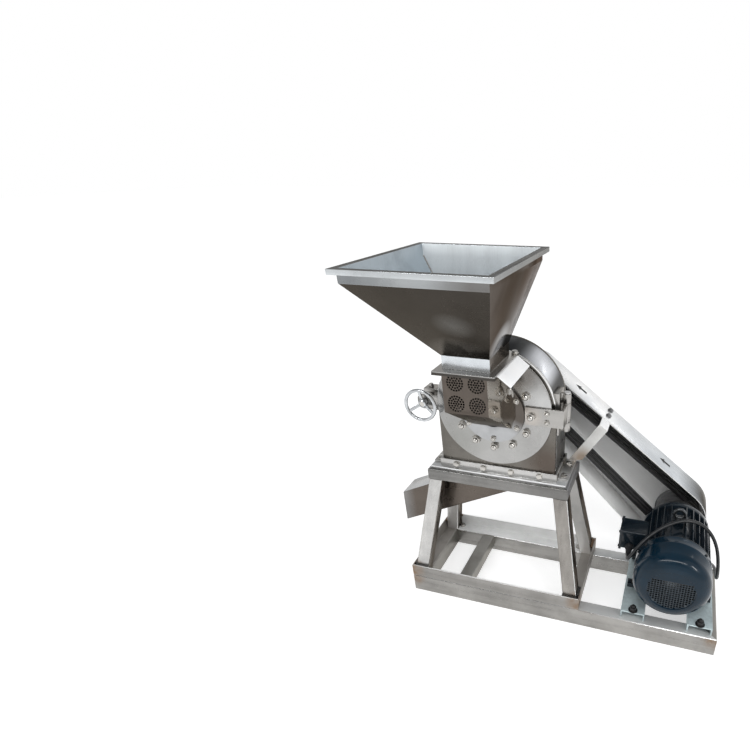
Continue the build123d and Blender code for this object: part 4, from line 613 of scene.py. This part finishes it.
node_finish = {node: material for material, names in (
    (steel_rail, "long_rails"), (steel_cross, "cross_rails"), (steel_ring, "stand_ring_sides"),
    (steel_ring_end, "stand_ring_ends"), (steel_leg, "stand_legs"), (steel_top_ring, "top_ring_sides"),
    (steel_top_ring_end, "top_ring_ends"), (steel_plate, "top_plate"), (steel_shell, "housing_shell"),
    (steel_front, "housing_front_plate housing_back_plate"), (steel_flange, "housing_flange"),
    (bearing_grey, "bearing_housing bearing_cover"), (shaft_steel, "main_bearings main_shaft rotor_nut hinge_pin"),
    (tooth_steel, "rotor_disc fixed_tooth_disc"), (cast_grey, "rotor_pulley motor_pulley"), (belt_rubber, "v_belts"),
    (steel_band, "ring_sieve hopper"), (steel_door, "door_disc"), (seal_rubber, "door_seal"), (steel_boss, "door_boss"),
    (steel_strap, "hinge_strap hinge_leaf clamp_lug clamp_bracket trunnion_nut"), (bright_wheel, "handwheel"),
    (bright_nut, "clamp_screw frame_bolts rear_dome_nuts door_dome_nuts door_small_bolts"), (steel_feed, "feed_box"),
    (steel_slot, "gate_guide"), (steel_gate, "feed_gate"), (wing_steel, "wing_screw"), (steel_chute, "discharge_chute"),
    (steel_rail_plate, "motor_rails"), (motor_black, "motor_frame motor_end_shields terminal_box"),
    (eye_steel, "motor_shaft eye_bolt"), (fan_black, "motor_fan"), (cowl_blue, "fan_cowl"), (black_bolt, "motor_bolts"),
    (steel_guard, "belt_guard"), (steel_strip, "guard_strip"), (plug_plastic, "cord_gland cord_tie power_plug"),
    (cord_sheath, "power_cord cord_coil"),
) for node in names.split()}
for node, material in node_finish.items():
    solid = nodes[node]
    if not solid.material_slots:
        solid.data.materials.append(material)
    for place in solid.material_slots:
        place.material = material


# ---- tubes, plates and sheets: the solids with their arrises taken off ----

def long_edges_rounded(node, radius):
    """A tube's copy with only its long edges rounded, so that the mitres stay shut."""
    shortest = 90
    piece = flat_copy(node)

    def is_long(edge):
        start, end = (piece.data.vertices[v].co for v in edge.vertices)
        return (start - end).length > shortest * MM

    choose(piece, "EDGE", is_long)
    bpy.ops.mesh.bevel(offset=radius * MM, segments=3, affect="EDGES")
    return smooth(piece)


tube_radius = {
    "long_rails": 3.5, "cross_rails": 3.5, "stand_legs": 3.5, "top_ring_sides": 3.5, "top_ring_ends": 3.5,
    "stand_ring_sides": 1.2, "stand_ring_ends": 1.2,
}
arris = {
    "top_plate": 0.8, "housing_shell": 0.6, "housing_front_plate": 3.2, "housing_back_plate": 1.2,
    "housing_flange": 1.0, "door_disc": 2.2, "door_boss": 1.4, "hinge_strap": 0.9, "hinge_leaf": 0.9,
    "gate_guide": 0.4, "feed_gate": 0.6, "clamp_lug": 1.2, "clamp_bracket": 1.0, "trunnion_nut": 0.8,
    "discharge_chute": 0.5, "motor_rails": 1.0, "motor_frame": 0.7, "motor_end_shields": 1.2,
    "terminal_box": 1.4, "belt_guard": 0.6, "guard_strip": 0.8, "bearing_housing": 1.4, "bearing_cover": 1.0,
    "cord_tie": 0.4, "v_belts": 1.6,
}
for node, radius in tube_radius.items():
    dress(long_edges_rounded(node, radius), node_finish[node], node)
for node, width in arris.items():
    dress(ease(flat_copy(node), width), node_finish[node], node)


def mouth_lip(c, n):
    """True on the upper half of the front plate's rim round its mouth, where it gets a painted highlight."""
    return 151 < off_axis(c, mill_shaft) < 165 and c.z > mill_shaft.z and n.y < 0.3


def guard_outside(c, n):
    """True on the guard's outer faces, which look away from the line between the two shafts."""
    share = min(max((c - mill_shaft).dot(drive_run) / drive_run.length_squared, 0), 1)
    away = c - mill_shaft - drive_run * share
    return away.x * n.x + away.z * n.z > 0


# painted light and shade: faces get lighter and darker copies of their finish by where they lie and which way they face
for node, rules in {
    "housing_front_plate": [(steel_lip, mouth_lip)],
    "belt_guard": [(steel_guard_back, lambda c, n: n.y > 0.5 and c.y > 271),
                   (steel_guard, lambda c, n: abs(n.y) > 0.5 and c.y > 200),
                   (steel_guard_rim, guard_outside)],
    "guard_strip": [(steel_strip_top, lambda c, n: n.dot(guard_normal) > 0.9)],
    "discharge_chute": [(steel_chute_top, lambda c, n: n.z > 0.5)],
    "long_rails": [(steel_rail_top, lambda c, n: n.z > 0.9),
                   (steel_edge, lambda c, n: n.z > 0.3 and n.y < -0.3)],
    "stand_ring_sides": [(steel_ring_front, lambda c, n: c.y < -140 and n.y < -0.5)],
    "stand_legs": [(steel_leg_side, lambda c, n: n.x > 0.7),
                   (steel_edge, lambda c, n: n.x > 0.3 and n.y < -0.3),
                   (steel_leg_back, lambda c, n: n.y > 0.7 or (c.y > 60 and n.y < -0.7)),
                   (steel_leg_left, lambda c, n: c.x < -300 and n.y < -0.7)],
}.items():
    finish_by_place(bpy.data.objects[node + "_finished"], rules, node_finish[node])

# ---- stand: weld beads between the feet and the angle ring ----

leg_half = 20


def bead(wall, foot, out):
    """A bead's corners as (across, height): on the angle's wall, on the leg, and down in the gap between them."""
    return (wall + out * 0.4, 100.8), (foot + out * 19.4, 101.6), (wall - out * 2, 94)


stand_welds = []
for foot_x, wall_x, out_x in ((-419.8, -446, -1), (41.3, 68, 1)):
    for foot_y, wall_y, out_y in ((-111, -139, -1), (112.5, 139, 1)):
        along_x = [(foot_x - leg_half, y, z) for y, z in bead(wall_y, foot_y, out_y)]
        along_y = [(x, foot_y - leg_half, z) for x, z in bead(wall_x, foot_x, out_x)]
        stand_welds += [cut_out("stand_weld", along_x, (2 * leg_half, 0, 0)),
                        cut_out("stand_weld", along_y, (0, 2 * leg_half, 0))]
foot_welds = joined("stand_foot_welds", stand_welds)
finish_by_place(foot_welds, [(weld_brown, lambda c, n: c.y > 0)], steel_weld)
settle(foot_welds, body="frame", slot=slot_of["stand_legs"])

# ---- hopper: one welded funnel, with painted light and shade on its rim, its walls and inside ----

hopper_foot, hopper_top = Vector((-191, -152, 813)), Vector((-205, -224, 990.5))
neck_half, mouth_half = (53.5, 62.5), (139.5, 160.5)
flange_top, neck_foot, neck_top = 783.5, 784, 814
band_foot, wall_top, rim_foot, rim_top = 989, 1005, 1005.5, 1014


def from_middle(c):
    """The way from the funnel's middle line to a point, level."""
    share = min(max((c.z - hopper_foot.z) / (hopper_top.z - hopper_foot.z), 0), 1)
    middle = hopper_foot.lerp(hopper_top, share)
    return Vector((c.x - middle.x, c.y - middle.y, 0))


hopper = ease(flat_copy("hopper"), 0.7)
# painted light and shade: each face gets the lighter or darker copy of the steel for where it lies and which way it
# faces
finish_by_place(hopper, [
    (steel_hopper_left, lambda c, n: neck_top < c.z < wall_top and from_middle(c).x < 0 and n.x > 0.5),
    (steel_hopper_inside, lambda c, n: neck_foot < c.z < rim_top and from_middle(c).dot(n) < -1),
    (steel_guide, lambda c, n: c.z < flange_top),
    (steel_rim_top, lambda c, n: c.z > rim_foot and n.z > 0.8),
    (steel_rim_side, lambda c, n: c.z > rim_foot and n.x > 0.5),
    (steel_rim, lambda c, n: c.z > rim_foot),
    (steel_neck_side, lambda c, n: c.z < neck_top and n.x > 0.5),
    (steel_neck, lambda c, n: c.z < neck_top),
    (steel_band, lambda c, n: c.z > band_foot and n.y < -0.4),
    (steel_hopper_front, lambda c, n: n.y < -0.4),
], steel_hopper_side)
settle(hopper, "hopper")

welds = []
for side_x in (-1, 1):
    for side_y in (-1, 1):
        top = hopper_top + Vector((side_x * mouth_half[0], side_y * mouth_half[1], 0))
        bottom = hopper_foot + Vector((side_x * neck_half[0], side_y * neck_half[1], 0))
        fillet = [top + Vector((side_x * a, side_y * b, 0)) for a, b in ((0.5, 0.5), (-2.7, 0.5), (0.5, -2.7))]
        welds.append(cut_out("hopper_weld", fillet, bottom - top))
dress(joined("hopper_corner_welds", welds), steel_weld, body=body_of["hopper"], slot=slot_of["hopper"])

# ---- feed box with its four round punched vents ----

box_top = 773.5
vent_radius, hole_radius, hole_pitch = 20.0, 2.45, 5.95
vent_places = [((-188.5 + x, -229.7, 733 + z), front, 0) for x in (-25.2, 25.2) for z in (-24.6, 24.6)]
vent_cutter = repeated("vent_cutter", prism(vent_radius, 12, 48), vent_places)
feed_box = solid_copy("feed_box")
punch(feed_box, vent_cutter)
remove(vent_cutter)
ease(feed_box, 0.5, 1)
# painted shade on the front and back faces, painted light on the sides
finish_by_place(feed_box, [
    (steel_slot, lambda c, n: c.z > box_top),
    (steel_feed, lambda c, n: abs(n.x) < 0.5),
], steel_feed_side)
settle(feed_box, "feed_box")

hole_places = [(origin, up, 0)]
for ring in (1, 2, 3):
    reach = hole_pitch * ring
    hole_places += [((x, y, 0), up, 0) for x, y in arc((0, 0), reach, reach, range(0, 360, 60 // ring))]
vent_punch = repeated("vent_punch", prism(hole_radius, 8, 12), hole_places)
vent_disc = turned("vent_disc", origin, up, [(0, -1.6), (20.05, -1.6), (20.05, 0.1), (19.6, 0.3), (0, 0.3)])
punch(vent_disc, vent_punch)
remove(vent_punch)
dress(repeated("feed_box_vents", smooth(vent_disc), vent_places), steel_feed, body="door", slot=slot_of["feed_box"])

# ---- fasteners, each on the origin along +Z ----

washer_thick, spring_thick = 1.7, 2.2
fastener_angle = 40


def washer(radius, bore, thick=washer_thick):
    rim = [(bore, 0), (radius, 0), (radius, thick * 0.7), (radius - 0.4, thick), (bore, thick), (bore, 0)]
    return turned("washer", origin, up, rim, 28)


def dome_nut(across, height):
    """A domed nut on its washer."""
    dome_foot = height * 0.5 - 0.6
    crown = arc((0, dome_foot), across * 0.45, height - dome_foot, range(0, 90, 15))
    dome = turned("dome", origin, up, [(0, dome_foot)] + crown + [(0, height)], 24)
    flats = lifted(hexagon("flats", across, height * 0.5 - 2.2, 1.2), 1.6)
    return smooth(joined("dome_nut", [washer(across * 0.62, across * 0.3), flats, dome]), fastener_angle)


def hex_bolt(across, height):
    """A hexagon head on its washer."""
    head = lifted(hexagon("head", across, height - 2.6, 1.3), 1.6)
    return smooth(joined("hex_bolt", [washer(across * 0.64, across * 0.3), head]), fastener_angle)


def stud_nut(across, height):
    """A nut with plain and spring washers on the end of its stud."""
    plain = washer(across * 0.76, across * 0.3, 2.0)
    spring = lifted(washer(across * 0.56, across * 0.3, spring_thick), 2.0)
    nut = lifted(hexagon("nut", across, height, 1.3), 2.0 + spring_thick)
    thread = [(r, z) for z in range(12, 18) for r in (4.6, 5.0)]
    stud = turned("stud", origin, up, [(0, 3)] + thread + [(3.8, 19), (0, 19)], 20)
    return smooth(joined("stud_nut", [plain, spring, nut, stud]), fastener_angle)


def pan_screw(radius, height):
    """A low round screw head with a cross slot."""
    profile = [(0, -0.4), (radius, -0.4), (radius, height * 0.45), (radius * 0.8, height * 0.85), (0, height)]
    head = turned("pan_head", origin, up, profile, 20)
    lay_down()
    bpy.ops.mesh.primitive_cube_add(size=MM, location=(0, 0, height * MM))
    slot = bpy.context.object
    slot.scale = (radius * 1.2, radius * 0.28, height)
    fix_place()
    punch(head, slot)
    slot.rotation_euler = (0, 0, pi / 2)
    punch(head, slot)
    remove(slot)
    return smooth(head, fastener_angle)


def round_places(radius, angles, y, direction):
    """Places on a circle round the mill's shaft, each fastener turned a little further."""
    return [(mill_shaft + bearing(a) * radius + Vector((0, y, 0)), direction, 13 * i) for i, a in enumerate(angles)]


door_face, boss_face, strap_face, plate_back, flange_back = -64, -72, -70, 64, 84
door_nuts = round_places(103, (30, 150, 180, 210, 240, 270, 300, 330), door_face, front)
door_nuts.append(((-88, strap_face, 619), front, 8))
dress(repeated("door_dome_nuts_turned", dome_nut(19, 16), door_nuts), bright_nut, "door_dome_nuts")

rear_nuts = round_places(103, range(0, 360, 30), plate_back, rear)
rear_nuts += round_places(66, range(30, 390, 60), flange_back, rear)
dress(repeated("rear_dome_nuts_turned", dome_nut(19, 16), rear_nuts), bright_nut, "rear_dome_nuts")

small_nuts = round_places(76, (30, 150, 210, 270, 330), boss_face, front)
small_nuts += [((-47, strap_face, 619 + z), front, 20) for z in (-12.25, 12.25)]
feed_bolts = [((-256, -74, 783), up, 0), ((-126, -74, 783), up, 15)]
small_bolts = joined("door_small_bolts_turned", [repeated("small_dome_nuts", dome_nut(13, 9), small_nuts),
                                                 repeated("feed_flange_bolts", hex_bolt(13, 6.1), feed_bolts)])
finish_by_place(small_bolts, [(wing_steel, lambda c, n: c.z > 770)], bright_nut)
settle(small_bolts, "door_small_bolts")

bolt_places = [((x, y, 64), up, 10) for x in (-396, 18) for y in (-123, 123)]
bolt_places += [((mill_shaft.x + 81 * i, y, 435.5), side, 12 * i) for i in (-1.5, -0.5, 0.5, 1.5)
                for y, side in ((-55, front), (70, rear))]
bolt_places += [((mill_shaft.x + x, 7 + y, 430), up, 20) for x in (-183, 183) for y in (-33.7, 33.7)]
bolt_places += [(guard_top + Vector((0, y, 0)), guard_normal, 5) for y in (205, 244)]
frame_bolts = repeated("frame_bolts_turned", hex_bolt(14, 7.4), bolt_places)
finish_by_place(frame_bolts, [(cast_grey, lambda c, n: c.y > 190)], bright_nut)
settle(frame_bolts, "frame_bolts")

rail_studs = [((x, y, 84), up, 14) for x in (222, 402) for y in (-121, 121)]
foot_studs = [((x, y, 97), up, 22) for x in (217, 407) for y in (-23, 101)]
dress(repeated("motor_stud_nuts", stud_nut(17, 8), rail_studs + foot_studs), black_bolt, "motor_bolts")

# ---- motor: fan cowl with its punched grille, cowl and lid screws ----

cowl_radius, cowl_end, cowl_sheet = 103, -38.4, 2.5
eye_radius, shoulder, outer, inner = 63, (66, -102), 37, 37 - cowl_sheet
grille_reach, grille_top = 60, motor_axis.z + 33
cowl = turned("fan_cowl_shell", motor_axis, rear, [
    (eye_radius, -136.5), (eye_radius, -138.3), (63.8, -139), *arc(shoulder, outer, outer, range(-90, 1, 9)),
    (cowl_radius, -66), (103.8, -64), (103.8, -60), (cowl_radius, -58), (cowl_radius, cowl_end),
    (cowl_radius - cowl_sheet, cowl_end), *arc(shoulder, inner, inner, range(0, -91, -9)), (eye_radius, -136.5)], 80)
lay_down()
bpy.ops.mesh.primitive_grid_add(x_subdivisions=19, y_subdivisions=19, size=136 * MM)
grille = bpy.context.object
grille.name = "fan_grille"
set_down(grille, (motor_axis.x, -136.9, motor_axis.z), Matrix.Rotation(pi / 2, 4, "X"))
choose_faces(grille, lambda c, n: off_axis(c, motor_axis) > 70)
bpy.ops.mesh.delete(type="FACE")
choose_faces(grille, lambda c, n: off_axis(c, motor_axis) < grille_reach and c.z < grille_top)
bpy.ops.mesh.inset(thickness=0.7 * MM, use_individual=True)
bpy.ops.mesh.delete(type="FACE")
fit(grille, "SOLIDIFY", thickness=1.6 * MM, offset=-1.0)
fan_cowl = joined("fan_cowl_punched", [grille, smooth(cowl, 30)])
finish_by_place(fan_cowl, [
    (grille_worn, lambda c, n: off_axis(c, motor_axis) < grille_reach + 1 and c.z < grille_top + 1),
], cowl_blue)
settle(fan_cowl, "fan_cowl")

screw_height = 2.6
cowl_screws = [(motor_axis + Vector((0, -48, 0)) + bearing(angle) * cowl_radius, bearing(angle), 30)
               for angle in (40, 140, 220, 320)]
lid_screws = [((154.6, y, z), left, 25) for y in (15, 75) for z in (192, 244)]
dress(repeated("motor_screws", pan_screw(4.2, screw_height), cowl_screws + lid_screws), black_bolt, body="frame",
      slot=slot_of["motor_bolts"])
box_screws = [((x, y, z), side, turn) for x, side in ((-138, right), (-244, left))
              for y, z, turn in ((-156, 712, 20), (-193, 681, 50))]
dress(repeated("feed_box_screws", pan_screw(4.0, screw_height), box_screws), bright_nut, body="door",
      slot=slot_of["door_small_bolts"])

# ---- clamp handwheel: round rim, three flat spokes dished back to the hub ----

wheel_centre = Vector((-388, 0, 619))
wheel_radius, rim_thick, rim_along, spoke_half = 42, 4.7, -83.5, 4.2
rim_section = arc((wheel_radius, rim_along), rim_thick, rim_thick, range(0, 361, 20))
wheel_rim = turned("wheel_rim", wheel_centre, rear, rim_section, 64)
wheel_hub = turned("wheel_hub", wheel_centre, rear, [
    (7.2, -60.6), (10.4, -60.6), (11.2, -62), (11.6, -72), (10.6, -75), (8.6, -76.6), (7.2, -76.6), (7.2, -60.6)], 36)
wheel_parts = [smooth(wheel_rim), smooth(wheel_hub)]
for angle in (90, 210, 330):
    across = bearing(angle + 90)
    side = [wheel_centre + bearing(angle) * reach + Vector((0, y, 0)) - across * spoke_half
            for reach, y in ((8.5, -65.5), (8.5, -73.5), (26, -81), (41, -86.3), (42, -80.8), (26, -74.5))]
    wheel_parts.append(ease(cut_out("wheel_spoke", side, across * 2 * spoke_half), 1.8, 3))
dress(joined("handwheel_cast", wheel_parts), bright_wheel, "handwheel")

# ---- gate wing screw ----

wing_x, wing_y, wing_half = -126, -121, 2.2
thread = [(r, z) for z in range(714, 770, 2) for r in (4.0, 3.5)]
stem = turned("wing_stem", (wing_x, wing_y, 0), up, [(0, 712), (3.6, 712)] + thread + [(4.0, 777.6), (0, 777.6)], 20)
hub = turned("wing_hub", (wing_x, wing_y, 0), up, [
    (0, 697), (6.0, 697), (7.4, 699), (7.4, 708), (5.6, 712.5), (0, 712.5)], 24)
wings = []
for side in (-1, 1):
    reach = [(wing_x + side * x, wing_y - wing_half, z) for x, z in (
        (4, 698), (5.2, 709), (8, 708), (10.2, 700), (10.4, 691.5), (9.2, 689.3), (7.4, 690), (6, 695))]
    wings.append(ease(cut_out("wing", reach, (0, 2 * wing_half, 0)), 1.2))
dress(joined("wing_screw_turned", wings + [smooth(hub), smooth(stem, 60)]), wing_steel, "wing_screw")

# ---- direction arrows on the guard's upper rim ----

rim_middle, arrow_lift, arrow_thick = 225, 0.02, 0.25
arrow = [(0, 0), (20, 13), (17, 5.2), (42, 5.0), (42, -5.0), (17, -5.2), (20, -13)]
arrows = []
for tip in (-134, 209):
    points = [guard_top + guard_run * (tip + along) + guard_normal * arrow_lift + Vector((0, rim_middle + across, 0))
              for along, across in arrow]
    arrows.append(cut_out("arrow", points, guard_normal * arrow_thick))
dress(joined("guard_arrows", arrows), arrow_black, body="frame", slot=slot_of["eye_bolt"])

# ---- cable gland, plug and its pins ----

rib_pitch = 4
gland_nut = hexagon("gland_nut", 22, 9, 1.4)
set_down(gland_nut, (186, 10, 200), Matrix.Rotation(pi / 2, 4, "X"))
ribs = [(10.2, 1.2), (10.2, -2)]
for i in range(7):
    width, start = 9.6 - 0.5 * i, -rib_pitch * i
    ribs += [(width, start - 2.5), (width - 0.3, start - 4.7), (width - 1.6, start - 5.0), (width - 1.6, start - 6.2)]
sleeve = turned("gland_sleeve", (186, 0, 200), rear, [(0, 1.2)] + ribs + [(4.9, -31), (0, -31)], 28)
dress(joined("cord_gland_ribbed", [ease(gland_nut, 0.4), smooth(sleeve, 40)]), plug_plastic, "cord_gland")

plug_axis = Vector((228, 0, 17.45))
neck = [(4.9, 290), (6.0, 289)]
for i in range(4):
    width, start = 6.4 + 0.4 * i, 287 - rib_pitch * i
    neck += [(width, start), (width + 0.2, start - 2), (width - 0.6, start - 2.3), (width - 0.6, start - 3.7)]
grip = [(9.0, 271), (12.0, 268), (13.6, 262), (13.9, 256), (15.2, 250), (16.8, 245), (17.0, 240), (16.2, 237.4),
        (15, 237)]
plug_shell = turned("plug_shell", plug_axis, rear, [(0, 290)] + neck + grip + [(0, 237)], 40)
pin = [(0, 239), (2.4, 239), (2.4, 220), (1.5, 218.3), (0, 218.0)]
plug_pins = joined("plug_pins", [turned("plug_pin", plug_axis + bearing(angle) * 8, rear, pin, 20)
                                 for angle in (90, 210, 330)])
dress(smooth(plug_pins), shaft_steel, body="frame", slot=slot_of["main_shaft"])
dress(smooth(plug_shell, 30), plug_plastic, "power_plug")

# ---- power cord: out of the gland, over the motor, down to the floor behind it and into its tied coil ----

floor_level, coil_step = 6.65, 10.8
cord_route = [(186, -18, 200), (186, -40, 200), (188, -60, 211), (196, -70, 232), (210, -62, 257), (236, -38, 284),
              (275, -7, 306), (325, 22, 316), (371, 38, 301), (404, 42, 269), (424, 34, 233), (434, 22, 194),
              (439, 18, 155), (443, 34, 120), (446, 66, 95), (447, 102, 81), (446, 136, 73), (441, 168, 57),
              (429, 194, 34), (411, 217, 17), (391, 238, 9), (371, 257, 7.2), (357, 277, floor_level),
              (352, 298, floor_level), (352, 320, floor_level)]
# The coil winds in on the floor, climbs onto itself within half a turn at its middle, and winds out again on top.
coil_middle = Vector((290, 330, 0))
coil_turns, turn_points = 4.5, 16
inner_reach, turn_pitch = 37.25, 11
for step in range(int(coil_turns * turn_points) + 1):
    angle = 2 * pi * step / turn_points
    reach = inner_reach + turn_pitch * abs(angle - coil_turns * pi) / (2 * pi)
    climb = min(max(angle - 4 * pi, 0.0), pi)
    level = floor_level + coil_step * (1 - cos(climb)) / 2
    cord_route.append(coil_middle + Vector((reach * cos(angle), reach * sin(angle), level)))
cord_route += [(plug_axis.x, 306, plug_axis.z), (plug_axis.x, 283, plug_axis.z)]

lay_down()
cord_line = bpy.data.curves.new("power_cord_line", "CURVE")
cord_line.dimensions = "3D"
spline = cord_line.splines.new("NURBS")
spline.points.add(len(cord_route) - 1)
for knot, point in zip(spline.points, cord_route):
    knot.co = (*(Vector(point) * MM), 1.0)
spline.order_u = 3
spline.use_endpoint_u = True
spline.resolution_u = 8
cord_line.bevel_depth = 5 * MM
cord_line.bevel_resolution = 4
cord_line.use_fill_caps = True
power_cord = new_object("power_cord_sheath", cord_line)
dress(power_cord, cord_sheath, "power_cord", "cord_coil")

# ---- studio, in metres: pale floor that glows a little where it is seen, soft light, camera ----

floor_glow = 0.53
lay_down()
bpy.ops.mesh.primitive_plane_add(size=60.0, location=(0, 0, -0.0005))
floor = bpy.context.object
floor.name = "studio_floor"
pale = Finish("pale_floor")
pale.tree.nodes.remove(pale.shader)
diffuse = pale.feed(pale.add("ShaderNodeBsdfDiffuse"), {"Color": (0.82, 0.82, 0.82)})
rays = pale.add("ShaderNodeLightPath").outputs
seen = pale.math("MAXIMUM", rays["Is Camera Ray"], rays["Is Glossy Ray"])
seen = pale.math("MAXIMUM", seen, rays["Is Transmission Ray"])
glow = pale.feed(pale.add("ShaderNodeEmission"), {"Strength": pale.math("MULTIPLY", seen, floor_glow)})
both = pale.feed(pale.add("ShaderNodeAddShader"), {0: diffuse.outputs[0], 1: glow.outputs[0]})
pale.feed(pale.tree.nodes["Material Output"], {"Surface": both.outputs[0]})
floor.data.materials.append(pale.material)

world = bpy.data.worlds.new("soft_studio")
bpy.context.scene.world = world
world.use_nodes = True
sky = world.node_tree
direction = sky.nodes.new("ShaderNodeTexCoord")
height = sky.nodes.new("ShaderNodeSeparateXYZ")
dome = sky.nodes.new("ShaderNodeValToRGB")
dome.color_ramp.elements[0].color = (1, 1, 1, 1)
dome.color_ramp.elements[1].color = (0.38, 0.39, 0.40, 1)
for position, grey in ((0.26, 1.0), (0.55, 0.5)):
    dome.color_ramp.elements.new(position).color = (grey, grey, grey, 1)
sky.links.new(direction.outputs["Generated"], height.inputs["Vector"])
sky.links.new(height.outputs["Z"], dome.inputs["Fac"])
sky.links.new(dome.outputs["Color"], sky.nodes["Background"].inputs["Color"])
sky.nodes["Background"].inputs["Strength"].default_value = 1.0


def hang(lamp, energy, direction):
    """Puts a lamp in the scene, turned along a direction."""
    lamp.energy = energy
    holder = new_object(lamp.name, lamp)
    holder.rotation_euler = Vector(direction).to_track_quat("-Z", "Y").to_euler()
    return holder


def softbox(name, place, aim, size, energy):
    """A strip lamp turned to what it lights, out of the camera's own sight."""
    lamp = bpy.data.lights.new(name, "AREA")
    lamp.shape = "RECTANGLE"
    lamp.size, lamp.size_y = size
    holder = hang(lamp, energy, Vector(aim) - Vector(place))
    holder.location = place
    holder.visible_camera = False


def soft_sun(name, direction, spread, energy):
    """A far lamp with soft shadows."""
    lamp = bpy.data.lights.new(name, "SUN")
    lamp.angle = radians(spread)
    hang(lamp, energy, direction)


soft_sun("key_light", (0.55, 0.75, -1.0), 40, 0.12)
soft_sun("side_light", (-0.8, 0.35, -0.75), 50, 0.3)
softbox("overhead_softbox", (0.1, -1.5, 2.4), (0.1, 0, 0.4), (3.2, 0.22), 28)
softbox("right_softbox", (1.9, -0.9, 1.35), (0.3, 0, 0.3), (0.22, 0.6), 6)
softbox("rear_softbox", (1.55, 2.3, 1.7), (0.3, 0, 0.3), (1.2, 0.16), 1.2)

view = bpy.data.cameras.new("photo_view")
view.sensor_width = 36.0
view.sensor_fit = "HORIZONTAL"
view.lens = 24.1947
view.shift_x = -0.203
view.shift_y = 0.103
view.clip_start = 0.01
camera = new_object("photo_camera", view)
camera.location = (0.23437, -1.16712, 1.16978)
camera.rotation_euler = (1.05149, 0.0073, 0.29036)
bpy.context.scene.camera = camera
bpy.context.scene.view_settings.view_transform = "Standard"
